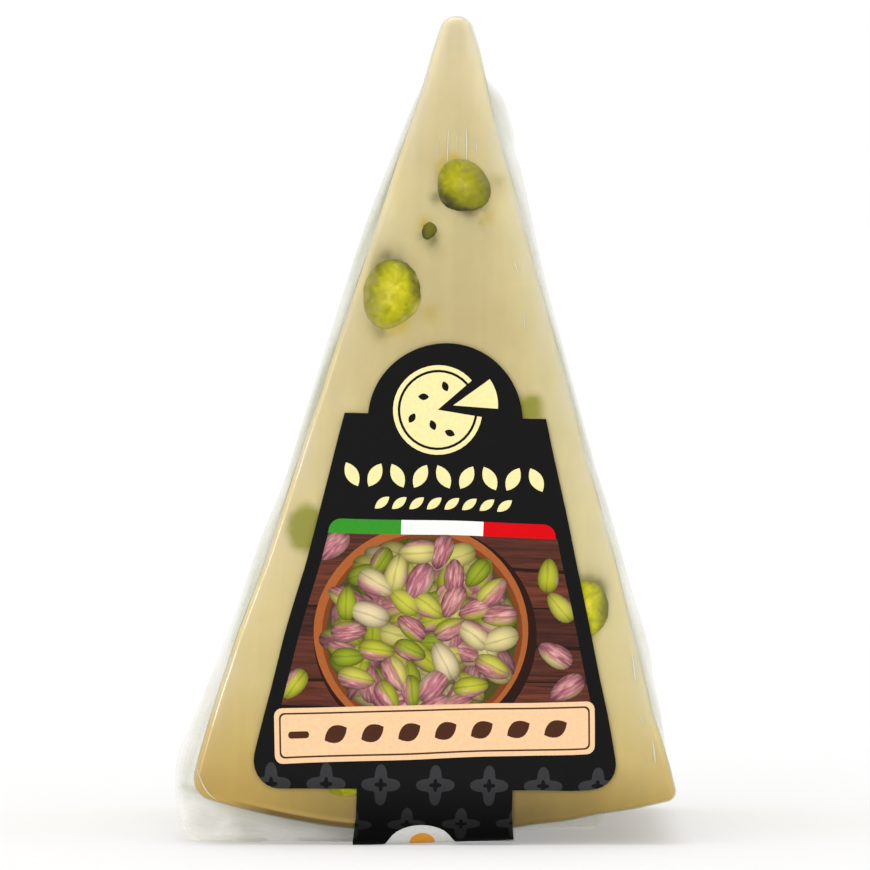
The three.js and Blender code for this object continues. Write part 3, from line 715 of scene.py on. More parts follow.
def cut_nuts(finish):
    """The nuts as one piece: the drawn solids, smoothed and pressed just under the film. Also gives
    each nut's visible face, for the stains on the cheese round it."""
    corners, faces, spots = [], [], []
    values = {"rim": [], "skin": [], "smear": [], "ripeness": []}
    chance = random.Random(SEED)
    for name in sorted(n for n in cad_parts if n.startswith("pistachio")):
        lump = in_scene("lump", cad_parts[name].data.copy())
        tidy(lump)
        out, centre, axes = visible_face([in_wedge(v.co) for v in lump.data.vertices])
        lump.modifiers.new("Remesh", "REMESH").voxel_size = 0.24 * MM
        smooth = lump.modifiers.new("Smooth", "SMOOTH")
        smooth.factor, smooth.iterations = 0.5, 4
        plain = as_plain_mesh(lump, "lump")
        inset = VEILED_INSET if name in VEILED else NUT_INSET
        by_chance = (chance.uniform(0, 360), chance.uniform(0.2, 0.8), chance.uniform(0.8, 1.1),
                     chance.uniform(0, 0.7), chance.uniform(0, 360), OTHERS_PAINTED_LIGHT)
        bare, bruised, lightness, covered, lit_side, uneven = SKIN_SIDES.get(name, by_chance)
        skin_way, lit_way = (Vector((math.cos(math.radians(t)), 0, -math.sin(math.radians(t))))
                               for t in (bare, lit_side))
        turned, bulges = SHAPED.get(name, (0, []))
        first = len(corners)
        for vertex in plain.data.vertices:
            point = in_wedge(vertex.co)
            reach = elliptic(point - centre, axes)
            # The face lies just under the film, and is a little uneven.
            depth = -(point - centre).dot(out)
            ruffle = 0.04 * noise.noise(point / 0.7)
            point -= out * max(0.0, inset + abs(ruffle) - depth)
            flat = point - centre - out * (point - centre).dot(out)
            heading = flat.normalized() if flat.length > 0.01 else Vector()
            facing = heading.dot(skin_way)
            rough = noise.noise(point / 1.1) + 0.5 * noise.noise(point / 0.45)
            for (across, down), by in bulges:
                way = Vector((across, 0, down))
                point += way * by * reach * max(0.0, heading.dot(way)) ** 3
            if turned:
                point = centre + Matrix.Rotation(math.radians(-turned), 3, "Y") @ (point - centre)
            corners.append(set_down(*point))
            skinned = (reach - 1.02 + 0.4 * max(0.0, facing) ** 0.6 + 0.22 * rough) / 0.32
            smeared = (reach - 0.78 - 0.3 * facing + 0.35 * rough) / 0.4
            # Painted light: the flesh is painted lighter on the side its light comes from.
            lighter = heading.dot(lit_way) * min(1.2, reach)
            values["rim"].append(reach)
            values["skin"].append(bruised * share(skinned))
            values["smear"].append(covered * share(smeared))
            values["ripeness"].append(lightness * (1 + uneven * lighter))
        faces += [tuple(i + first for i in polygon.vertices) for polygon in plain.data.polygons]
        spots.append((name, centre, axes, out, skin_way, bruised))
        bpy.data.objects.remove(plain)
    return new_piece("pistachio_nuts", corners, faces, [finish], 60, values=values), spots


# ---- The cheese and its film --------------------------------------------------------------------

def wedge_mesh(inset, spacing):
    """Corners (x, y, s) and faces of the rounded wedge at this distance inside the drawn one."""
    rounding = EDGE_ROUND - inset
    bend = [math.pi / 2 * k / 6 for k in range(7)]
    edge = [(inset + rounding * (1 - math.cos(t)), inset + rounding * (1 - math.sin(t))) for t in bend]
    depth, steps = BACK - FRONT - 2 * edge[-1][0], 42
    rows = [(FRONT + d, i) for d, i in edge]
    rows += [(FRONT + edge[-1][0] + depth * k / steps, inset) for k in range(1, steps)]
    rows += [(BACK - d, i) for d, i in reversed(edge)]
    corners = [(x, y, s) for y, row_inset in rows for x, s in sector(row_inset)]
    faces = between_rings(len(rows), len(corners) // len(rows))
    outline = sector(rows[0][1])
    flat, triangles = fill_flat([outline], spacing, lambda points: within(points, outline))
    for y in (rows[0][0], rows[-1][0]):
        first = len(corners)
        corners += [(x, y, s) for x, s in flat]
        faces += [tuple(int(i) + first for i in t) for t in triangles]
    return corners, faces


def stains_and_shades(corners, spots):
    """Each point's share of staining, crumbs and painted shadow, their tone, and how strongly a veiled nut
    shows through.
    """
    count = len(corners)
    stain, tone, bruise = [0.0] * count, [0.3] * count, [0.0] * count
    tree = near_finder([centre for _, centre, *_ in spots])
    for i, corner in enumerate(corners):
        place = Vector(corner)
        blur = noise.noise(place / 1.4)
        for _, nearest, _ in tree.find_range(corner, 9.0):
            name, centre, axes, out, skin_way, bruised = spots[nearest]
            offset = place - centre
            if name in VEILED and place.y < FRONT + 1:
                (x, s), (wide, high), thicker = VEILED[name]
                across, down = abs((place.x - x) / wide), abs((place.z - s) / high)
                reach = (across ** 2.6 + down ** 2.6) ** (1 / 2.6)
                shown = 0.9 - 0.9 * (reach - 0.8) * wide + 0.3 * blur - thicker * max(0.0, x - place.x)
                bruise[i] = max(bruise[i], min(0.92, max(0.0, shown)))
            elif abs(offset.dot(out)) < 0.8 and (out.y < 0) == (place.y < FRONT + 0.9):
                beyond = (elliptic(offset, axes) - 1) * sum(half for _, half in axes) / 2
                facing = offset.normalized().dot(skin_way)
                width = 0.38 + 0.25 * max(0.0, facing)
                amount = min(1.0, math.exp(-max(0.0, beyond) / width) * (0.8 + 0.7 * blur))
                if amount > stain[i]:
                    stain[i], tone[i] = amount, share(0.3 + 0.8 * bruised * facing)
        if place.y < FRONT + 1:
            # Crumbs and smears beside the nuts, and painted shadows where shade falls beside them.
            for x, s, radius, strength, spot_tone in SMEARS_AND_SHADOWS:
                away = math.hypot(place.x - x, place.z - s) / radius
                amount = strength * math.exp(-away * away) * (1 + blur)
                if amount > stain[i]:
                    stain[i], tone[i] = min(1.0, amount), spot_tone
    return {"stain": stain, "stain_tone": tone, "bruise": bruise}


def cheese_wedge(finish, spots):
    """The cheese. Its points also know how far they sank with the rim, how close they are to a cut,
    how much paler the paste is mixed there, and where painted light and shade line the rim."""
    corners, faces = wedge_mesh(CHEESE_INSET, 0.6)
    values = stains_and_shades(corners, spots)
    values["sunk"] = [sunk_at(x, s) for x, _, s in corners]
    beside = [min(1.0, abs(x) / max(1.0, half_width(s))) for x, _, s in corners]
    values["beside"] = beside
    values["dried"] = [(0.48 if x > 0 else 0.15) * max(0.0, b - 0.6) / 0.4 * level(s, (86, 98), (1, 0))
                       for b, (x, _, s) in zip(beside, corners)]
    # Where a painted shade line and a painted highlight run along the rim, on the front half.
    values["rind"] = [level(x, (-25, -19, 0, 9), (0, 1, 1, 0)) if y < 0 else 0.0 for x, y, _ in corners]
    placed = [set_down(*corner) for corner in corners]
    return new_piece("cheese", placed, faces, [finish], 60, values=values)


def film_skin(finish):
    """The clear film. Along the edges of the two flat faces it lifts a little off the cheese: in a
    wide band, and more in a brim right at the edge. Near the floor it lifts less."""
    corners, faces = wedge_mesh(0.0, 1.0)
    lift, edges = [], []
    for x, y, s in corners:
        edge = max(0.0, (half_width(s) - abs(x)) * math.cos(HALF_ANGLE))
        flat = math.exp(-max(0.0, min(y - FRONT, BACK - y)) / 1.2)
        band, reach, brim = (0.09, 1.8, level(s, (60, 78), (0.3, 0.1))) if x > 0 else (0.055, 2.5, 0.27)
        near = 0.006 + flat * (band * math.exp(-edge / reach) + brim * math.exp(-edge / 0.5))
        lift.append(near * min(1.0, max(0.15, (98 - s) / 16)))
        edges.append(flat * math.exp(-edge / 1.2))
    placed = [set_down(*corner) for corner in corners]
    return new_piece("film", placed, faces, [finish], 60, values={"lift": lift, "edge": edges})


# ---- The welded flange --------------------------------------------------------------------------

# How far the trimmed edge stands out from the cheese, (s, out), then the ear and the heel as (x, s).
LEFT_TRIM = [(9, -0.6), (14, 0.35), (22, 1.0), (30, 1.4), (38, 1.35), (46, 1.25), (54, 1.05),
             (60, 0.95), (67, 1.45), (75, 1.5), (80, 1.7), (86, 2.1)]
EAR = [(-29.4, 89.5), (-30.6, 92.5), (-30.8, 96), (-30.4, 99.8), (-29.4, 102), (-27.6, 103.6)]
RIGHT_TRIM = [(8, -0.6), (11.2, 0.3), (13.1, 1.4), (14.6, 1.75), (17.4, 1.85), (19.9, 1.35), (22.4, 1.5),
              (28, 1.2), (36, 0.85), (42, 0.85), (50, 0.85), (57, 0.85), (62, 1.1), (70, 1.2),
              (78, 1.45), (82, 0.95), (86, 0.7), (90, 0.2), (94, -0.3)]
HEEL = [(24, 96.2), (21.2, 97), (20.4, 97.8), (19.9, 99.2), (19.2, 100), (9.8, 100.5)]


def flange(finish):
    """The weld all round and the skirt under the rim, which ripples more the further it stands out."""
    def beside(side, trim):
        return [(side * (half_width(s) + out), s) for s, out in trim]

    left = spline(beside(-1, LEFT_TRIM) + EAR, 150)
    right = spline(beside(1, RIGHT_TRIM)[::-1], 170)
    outline = left + [(-10, 104), (9.8, 104)] + HEEL[::-1] + right
    outline = dense(outline, lambda p: 0.7)
    hole = sector(FLANGE_ROOT)

    def inside(points):
        return within(points, outline) & ~within(points, hole)

    flat, triangles = fill_flat([outline, hole], 0.7, inside)

    def at(x, s, height):
        margin = max(0.0, abs(x) - half_width(s)) + max(0.0, math.hypot(x, s) - WHEEL_RADIUS)
        wave = noise.noise(Vector((x, s, 0)) / 2.2) * 0.08 + noise.noise(Vector((x, s, 5)) / 5.0) * 0.35
        point = on_floor(x, FLANGE_Y + wave * min(margin, 4) - height, s)
        # Where the skirt would pass through the floor it turns and lies on it, forwards.
        lying = 0.15 * MM
        if point.z < lying:
            point = Vector((point.x, point.y - (lying - point.z) * 0.8, 0.0 if height < 0 else lying))
        return point

    corners, faces, _ = sheet_mesh(flat, triangles, at, FLANGE_THICK)
    trimmed = near_finder(outline)
    margin, inner, lengths = [], [], []
    for x, s in flat:
        below = math.hypot(x, s) - WHEEL_RADIUS
        beyond = max((abs(x) - half_width(s)) * math.cos(HALF_ANGLE), below)
        lengths.append(beyond)
        # Low down the weld is whiter where it leaves the cheese, most of all on the right.
        whiter = level(s, (70, 84), (0, 0.25)) if x < 0 else level(s, (55, 72), (0, 0.65))
        margin.append(share(beyond / 3.0 + whiter * share(1 - below / 2)))
        # It is thin low on the left and high on the right, but doubled in the skirt under the rim.
        thin = level(s, (60, 76, 90), (1.0, 0.8, 0.6)) if x < 0 else level(s, (20, 45), (0.5, 1.0))
        doubled = thin + (1.0 - thin) * share(below)
        inner.append(min(1.0, 0.2 + trimmed.find((x, s, 0))[2] / 1.2) * doubled)
    values = {"margin": margin * 2, "inside": inner * 2, "beyond": lengths * 2}
    return new_piece("film_flange", corners, faces, [finish], 80, values=values)


def film_gather(finish):
    """Film gathered under the rim, in folds round a narrow pad that the pack stands on."""
    corners = []
    count, heights = 260, [0.66, 1.0, 1.5, 2.0, 2.6]
    middle = -STANDING_HEIGHT * math.tan(LEAN)
    for ring, z in enumerate(heights):
        for i in range(count):
            t = 2 * math.pi * i / count
            fold = 0.35 * math.sin(i * 1.1 + 0.8 * ring)
            fold += 0.5 * noise.noise(Vector((i * 0.37, ring * 0.6, 3)))
            spread = 1 - 0.02 * ring
            box = max(abs(math.cos(t)), abs(math.sin(t))) ** 0.85
            x = (FOOT_HALF_WIDTH - 0.8 + fold) * spread * math.cos(t) / box
            y = (FOOT_HALF_DEPTH - 0.8 + fold) * spread * math.sin(t) / box
            # The folds end on the underside of the rim.
            roof = STANDING_HEIGHT - math.sqrt((WHEEL_RADIUS - 0.3) ** 2 - x * x) - sag(x)
            height = z * min(1.0, roof / 3) if ring < len(heights) - 1 else roof
            corners.append(Vector((middle + x, y, height)) * MM)
    faces = between_rings(len(heights), count)
    faces += [tuple(range(count))[::-1], tuple(range(len(corners) - count, len(corners)))]
    values = {"margin": [0.3] * len(corners), "inside": [1.0] * len(corners)}
    return new_piece("film_gather", corners, faces, [finish], 80, values=values)


# ---- The label's shape --------------------------------------------------------------------------

# The label is one flat strip: u runs across it and v along it, from the front's arched top (where v
# is the wedge's s), round the fold, under the rim and up the back.
UNDER_LENGTH = 2 * (LABEL_Y - FOLD_RADIUS)
FOLD_LENGTH = FOLD_RADIUS * math.pi / 2


def back_v(u, s):
    """Where on the strip the back panel's point (u, s) lies."""
    height = STANDING_HEIGHT - s * COS - u * SIN
    past_fold = height - FOLD_RADIUS + 2 * FOLD_LENGTH + UNDER_LENGTH
    return (STANDING_HEIGHT - u * SIN - FOLD_RADIUS + past_fold) / COS


def label_point(u, v, height):
    """A point of the folded strip in metres, a height above its printed side."""
    past_fold = FOLD_RADIUS - (STANDING_HEIGHT - v * COS - u * SIN)
    radius = FOLD_RADIUS + height
    if past_fold <= 0:
        x, y, s = Vector((u, -LABEL_Y - height, v)) + drift(u, FRONT, v) * min(1.0, -past_fold / 3)
        return on_floor(x, y, s) + Vector((0, 0, fold_rise(u, past_fold))) * MM
    if past_fold < FOLD_LENGTH:
        turn = past_fold / FOLD_RADIUS
        y, z = FOLD_RADIUS - LABEL_Y - radius * math.cos(turn), FOLD_RADIUS - radius * math.sin(turn)
    elif past_fold < FOLD_LENGTH + UNDER_LENGTH:
        y, z = FOLD_RADIUS - LABEL_Y + past_fold - FOLD_LENGTH, -height
    elif past_fold < 2 * FOLD_LENGTH + UNDER_LENGTH:
        turn = (past_fold - FOLD_LENGTH - UNDER_LENGTH) / FOLD_RADIUS
        y, z = LABEL_Y - FOLD_RADIUS + radius * math.sin(turn), FOLD_RADIUS - radius * math.cos(turn)
    else:
        y, z = LABEL_Y + height, FOLD_RADIUS + past_fold - 2 * FOLD_LENGTH - UNDER_LENGTH
    s = (STANDING_HEIGHT - z - u * SIN) / COS
    x = u * COS - s * SIN
    if past_fold < 2 * FOLD_LENGTH + UNDER_LENGTH:
        return Vector((x, y, z + fold_rise(u, past_fold))) * MM
    x, y, s = Vector((u, y, s)) + drift(u, BACK, s)
    return on_floor(x, y, s)


def fold_rise(u, past_fold):
    """How far the front fold lifts off the floor, more towards the right."""
    near = math.exp(-max(0.0, past_fold - 2) / 9) * share((past_fold + 3) / 3)
    return 0.33 * max(0.0, u / TONGUE_FOLD_HALF_WIDTH + 0.8) * near


def panel_side(top_half, top, bottom_half, bottom, rounding=3.0):
    """The right side of a panel that widens downwards, to the end of its rounded lower corner."""
    slope = (bottom_half - top_half) / (bottom - top)
    turn = math.atan(slope)
    centre = bottom - rounding
    x = top_half + (centre - top) * slope - rounding / math.cos(turn)
    return [(top_half, top)] + arc(x, centre, rounding, turn, -math.pi / 2, 7)


def label_outline():
    """The strip's outline, with more points at the two folds."""
    arch_foot = math.asin(0.5 / 9.1)
    right = arc(0, 51.8, 9.1, math.pi / 2, arch_foot, 22)
    right += panel_side(11.8, 51.3, 22.0, 95.1)
    right += [(TONGUE_HALF_WIDTH, 95.1), (TONGUE_HALF_WIDTH, 98), (TONGUE_FOLD_HALF_WIDTH, 102)]
    back = [(TONGUE_FOLD_HALF_WIDTH, 102), (TONGUE_HALF_WIDTH, 98), (TONGUE_HALF_WIDTH, 93)]
    back += panel_side(13, 61, 19.5, 93)[::-1]
    back += arc(10, 61, 3, 0, math.pi / 2, 7)[1:]
    left = [(-u, v) for u, v in right[::-1]][:-1]
    right_back = [(u, back_v(u, s)) for u, s in back]
    left_back = [(-u, back_v(-u, s)) for u, s in back[::-1]]
    outline = right + right_back + left_back + left

    def step(point):
        return 0.3 if on_fold(point[1]) else 1.1

    return dense(outline, step)


def on_fold(v):
    start = STANDING_HEIGHT - FOLD_RADIUS
    end = start + FOLD_LENGTH
    return start - 0.6 < v < end + 0.8 or 0 < v - end - UNDER_LENGTH + 0.6 < 3.6


# ---- The label's print --------------------------------------------------------------------------

# Each ink's colour, and the dark and light grain of the printed boards.
INKS = {
    "black": "#191919", "motif": "#3a3a3c", "cream": "#f3e5a6", "green": "#369128", "white": "#f2f3ee",
    "red": "#d6000a", "gap": "#2b1610", "bowl": "#a85d2d", "bowl_shade": "#7c3f1b", "bowl_inside": "#4a4a1c",
    "tan": "#f5ca9d", "tan_line": "#4b2a1b", "grey": "#c4c4c0", "amber": "#c98a2e",
}
BOARDS = {"board_dark": ("#2c1511", "#55291d"), "board_mid": ("#3b1c15", "#653424"),
          "board_red": ("#431e17", "#733a27")}


def oval(u, v, across, along, steps=28):
    """An oval's outline, from half of its width and height."""
    turns = [2 * math.pi * i / steps for i in range(steps)]
    return [(u + across * math.cos(t), v - along * math.sin(t)) for t in turns]


def leaf(u, v, length, width, turn):
    """A pointed leaf, turned anticlockwise as seen on the label."""
    points = []
    cos, sin = math.cos(turn), math.sin(turn)
    for side in (1, -1):
        for i in range(8):
            t = i / 8
            a, b = side * length * (0.5 - t), side * width / 2 * math.sin(math.pi * t) ** 0.8
            points.append((u + a * cos - b * sin, v - a * sin - b * cos))
    return points


def slab(u, v, width, height, turn, rounding):
    """A rectangle with round corners, turned as a leaf is."""
    points = []
    for cu, cv, start in ((1, -1, 0), (-1, -1, 90), (-1, 1, 180), (1, 1, 270)):
        points += arc(cu * (width / 2 - rounding), cv * (height / 2 - rounding), rounding,
                      math.radians(start), math.radians(start + 90), 4)
    cos, sin = math.cos(turn), math.sin(turn)
    return [(u + a * cos + b * sin, v - a * sin + b * cos) for a, b in points]


def quatrefoil(u, v, radius):
    points = []
    for i in range(40):
        t = 2 * math.pi * i / 40
        reach = radius * (0.74 + 0.26 * math.cos(4 * t))
        points.append((u + reach * math.cos(t), v + reach * math.sin(t)))
    return points


# The picture's corners, the bowl's centre and radius, and the plaque's centre, size and turn.
PICTURE = [(-13.4, 65.4), (13.4, 65.4), (18.2, 85.9), (-18.2, 85.9)]
BOWL = (-2.1, 76.8, 12.5)
PLAQUE = (-0.2, 88.5, 37.4, 6.2, math.radians(2.9))
BOARD_SEAMS = [64.6, 69.0, 73.9, 78.0, 82.6, 87.4]
BOARD_INKS = ["board_mid", "board_red", "board_dark", "board_mid", "board_red"]


def wheel_fields(u, v, turn):
    """A cheese wheel with nuts in it and one wedge drawn out."""
    def slice_of(drawn_out, radius, spread):
        point = (u + drawn_out * math.cos(turn), v - drawn_out * math.sin(turn))
        return [point] + arc(*point, radius, turn - spread, turn + spread, 8)

    fields = [(oval(u, v, 5.3, 5.3, steps=44), "cream", None),
              (oval(u, v, 4.75, 4.75, steps=40), "black", None),
              (oval(u, v, 4.45, 4.45, steps=40), "cream", None)]
    for angle, reach in ((75, 2.9), (140, 2.3), (200, 3.2), (255, 1.9), (300, 3.1)):
        t = math.radians(angle)
        nut = leaf(u + reach * math.cos(t), v - reach * math.sin(t), 1.3, 0.8, t + 0.7)
        fields.append((nut, "black", None))
    fields += [(slice_of(0.0, 6.2, math.radians(25)), "black", None),
               (slice_of(1.9, 5.3, math.radians(20)), "cream", None)]
    return fields


def print_fields():
    """The print, painted in order: (outline, ink, clip), each clip an outline that holds the field."""
    fields = wheel_fields(-0.9, 50.6, math.radians(18))
    # Two rows of leaves.
    for i in range(9):
        lean = math.radians(62 if i % 2 else 118)
        fields.append((leaf((i - 4) * 2.7, 58.5, 3.1, 1.55, lean), "cream", None))
    for i in range(8):
        fields.append((leaf((i - 3.5) * 2.05, 61.7, 2.2, 1.0, math.radians(40)), "cream", None))
    # The three-colour band.
    left_end = arc(-11.9, 65.2, 1.5, math.pi, math.pi / 2, 8)
    right_end = arc(11.7, 65.2, 1.5, math.pi / 2, 0, 8)
    fields += [([(-4.8, 65.4), (-13.5, 65.4)] + left_end + [(-4.8, 63.7)], "green", None),
               ([(-4.8, 63.7), (4.8, 63.7), (4.8, 65.4), (-4.8, 65.4)], "white", None),
               ([(4.8, 65.4), (4.8, 63.7)] + right_end + [(13.3, 65.4)], "red", None)]
    # The picture: boards, and a bowl of nuts on them.
    fields.append((PICTURE, "gap", None))
    for i, (top, bottom, ink) in enumerate(zip(BOARD_SEAMS, BOARD_SEAMS[1:], BOARD_INKS)):
        tilt = -0.5 if i % 2 else 0.4
        board = [(-19, top + 0.12 + tilt), (19, top + 0.12 - tilt),
                 (19, bottom - 0.12 + tilt * 0.6), (-19, bottom - 0.12 - tilt * 0.6)]
        fields.append((board, ink, PICTURE))
    u, v, radius = BOWL
    fields += [(oval(u + 0.5, v + 0.6, radius + 0.5, radius + 0.5, steps=64), "gap", PICTURE),
               (oval(u, v, radius, radius, steps=72), "bowl", PICTURE),
               (oval(u + 0.15, v + 0.2, radius - 0.8, radius - 0.8, steps=64), "bowl_shade", PICTURE),
               (oval(u + 0.1, v + 0.15, radius - 1.35, radius - 1.35, steps=64), "bowl_inside", PICTURE)]
    # The plaque, with a row of kernels in place of words.
    u, v, width, height, turn = PLAQUE
    fields += [(slab(u, v, width, height, turn, 0.9), "tan", None),
               (slab(u, v, width - 1.1, height - 1.1, turn, 0.6), "tan_line", None),
               (slab(u, v, width - 1.5, height - 1.5, turn, 0.5), "tan", None),
               (slab(u - 15.9, v + 0.8, 2.4, 0.8, turn, 0.35), "tan_line", None)]
    for i in range(7):
        along = (i - 2.7) * 4.3
        place = (u + along * math.cos(turn), v - along * math.sin(turn))
        fields.append((leaf(*place, 3.0, 2.0, turn + math.radians(28)), "tan_line", None))
    # Quatrefoils at the foot, on the tongue and again on the back.
    for v, places, shift in ((94.6, range(-3, 4), 0.0), (99.4, range(-2, 2), 0.5)):
        for i in places:
            fields += [(quatrefoil((i + shift) * 6.4, v, 2.3), "motif", None),
                       (quatrefoil((i + shift) * 6.4, v, 0.75), "black", None)]
    # A seal on the fold.
    fields += [(oval(-1.5, 103.9, 4.4, 4.4, steps=36), "grey", None),
               (oval(-1.3, 102.0, 1.5, 1.2), "amber", None)]

    def on_back(outline):
        return [(u, back_v(u, s)) for u, s in outline]

    # The back panel, with ruled lines in place of words.
    fields.append((on_back([(-10.5, 63), (10.5, 63), (14.6, 84), (-14.6, 84)]), "cream", None))
    for i in range(6):
        s, half = 66 + 3 * i, 9.0 + 0.58 * i
        line = [(-half, s), (half, s), (half, s + 0.35), (-half, s + 0.35)]
        fields.append((on_back(line), "tan_line", None))
    for i in range(-2, 3):
        fields += [(on_back(quatrefoil(i * 7, 88.6, 2.6)), "motif", None),
                   (on_back(quatrefoil(i * 7, 88.6, 0.85)), "black", None)]
    return fields


def paper_label(finishes):
    """The folded label, its print laid in field by field so that every edge is crisp."""
    names = list(finishes)
    outline = label_outline()
    fields = [(dense(field, lambda p: 1.6), ink, clip) for field, ink, clip in print_fields()]

    def inside(points):
        return within(points, outline)

    # More points at both folds, so that the paper bends round them smoothly.
    start = STANDING_HEIGHT - FOLD_RADIUS
    bends = [start - 0.5, start + FOLD_LENGTH + UNDER_LENGTH - 0.5]
    extra = [(-9.0 + 1.0 * i, bend + 0.3 * j) for bend in bends for j in range(12) for i in range(19)]
    flat, triangles = fill_flat([outline] + [field for field, _, _ in fields], 1.3, inside, extra)
    centres = flat[triangles].mean(axis=1)
    picks = np.full(len(triangles), names.index("black"))
    for field, ink, clip in fields:
        painted = within(centres, field)
        if clip:
            painted &= within(centres, clip)
        picks[painted] = names.index(ink)
    corners, faces, walls = sheet_mesh(flat, triangles, label_point, PAPER)
    # The glued side is white, and the paper's edges are black.
    white, black = names.index("white"), names.index("black")
    picks = [int(p) for p in picks] + [white] * len(triangles) + [black] * walls
    return new_piece("paper_label", corners, faces, list(finishes.values()), 35, picks=picks)


# ---- Scattering, as a tree of geometry nodes ----------------------------------------------------

def scatter_tree():
    """Strews copies of one small piece over a surface, each turned, sized and tinted by chance."""
    tree = new_tree("scatter", {
        "Piece": "Object", "Spacing": "Float", "Density": "Float", "Smallest": "Float", "Largest": "Float",
        "Seed": "Int", "Finish": "Material"})
    given = add(tree, "NodeGroupInput").outputs
    where = add(tree, "GeometryNodeInputNamedAttribute", {"data_type": "FLOAT", "Name": "strewn"})
    points = add(tree, "GeometryNodeDistributePointsOnFaces", {
        "distribute_method": "POISSON", "Mesh": given["Geometry"], "Distance Min": given["Spacing"],
        "Density Max": given["Density"], "Density Factor": where, "Seed": given["Seed"]})
    shape = add(tree, "GeometryNodeObjectInfo", {"Object": given["Piece"]})
    size = add(tree, "FunctionNodeRandomValue", {
        "data_type": "FLOAT", 2: given["Smallest"], 3: given["Largest"], "Seed": given["Seed"]})
    copies = add(tree, "GeometryNodeInstanceOnPoints", {
        "Points": points.outputs["Points"], "Instance": shape.outputs["Geometry"],
        "Rotation": points.outputs["Rotation"], "Scale": size.outputs[1]})
    spin = add(tree, "FunctionNodeRandomValue", {
        "data_type": "FLOAT_VECTOR", 0: (0, 0, 0), 1: (0, 0, 2 * math.pi), "Seed": given["Seed"]})
    turned = add(tree, "GeometryNodeRotateInstances", {"Instances": copies, "Rotation": spin.outputs[0]})
    chance = add(tree, "FunctionNodeRandomValue", {
        "data_type": "FLOAT", 2: 0.0, 3: 1.0, "Seed": given["Seed"]})
    tinted = add(tree, "GeometryNodeStoreNamedAttribute", {
        "data_type": "FLOAT", "domain": "INSTANCE", "Geometry": turned, "Name": "tint",
        "Value": chance.outputs[1]})
    real = add(tree, "GeometryNodeRealizeInstances", {"Geometry": tinted})
    done = add(tree, "GeometryNodeSetMaterial", {"Geometry": real, "Material": given["Finish"]})
    add(tree, "NodeGroupOutput", {"Geometry": done})
    return tree


def flat_ground(outline):
    """A flat sheet in label millimetres for the scatter to fall on."""
    flat, triangles = fill_flat([outline], 2.0, lambda points: within(points, outline))
    mesh = bpy.data.meshes.new("ground")
    mesh.from_pydata([(u, v, 0) for u, v in flat], [], [tuple(map(int, t)) for t in triangles])
    give(mesh, {"strewn": [1.0] * len(flat)})
    return in_scene("ground", mesh)


def kernel_shape():
    """One printed kernel, flat as ink: an almond in rings, closed below."""
    half_long, half_wide, steps = 2.3, 1.35, 18
    rings = [(1.0, 0.0), (0.84, 0.012), (0.6, 0.02), (0.3, 0.03)]
    corners, rims = [], []
    for reach, height in rings:
        for i in range(steps):
            t = 2 * math.pi * i / steps
            narrow = 1 - 0.2 * math.cos(t)
            x, y = half_long * reach * math.cos(t), half_wide * reach * narrow * math.sin(t)
            corners.append((x, y, height))
            rims.append(reach)
    corners.append((0, 0, 0.032))
    rims.append(0.0)
    faces = between_rings(len(rings), steps)
    top = (len(rings) - 1) * steps
    faces += [(top + i, top + (i + 1) % steps, len(corners) - 1) for i in range(steps)]
    faces.append(tuple(range(steps))[::-1])
    mesh = bpy.data.meshes.new("kernel")
    mesh.from_pydata(corners, [], faces)
    give(mesh, {"rim": rims, "along": [x / half_long for x, _, _ in corners],
                "across": [y / half_wide for _, y, _ in corners]})
    return in_scene("kernel", mesh)


# Where loose nuts lie on the boards.
LOOSE = [
    [(11.8, 67.2), (12.8, 67.2), (14.4, 74), (12.6, 73)],
    [(13.6, 79), (15.6, 79), (16.2, 83.6), (12, 83.6)],
    [(-16.4, 80.5), (-15.6, 80.5), (-14.6, 84.2), (-17, 84.2)],
    [(-13.4, 67.4), (-12.6, 66.6), (-12.4, 68.4)],
]


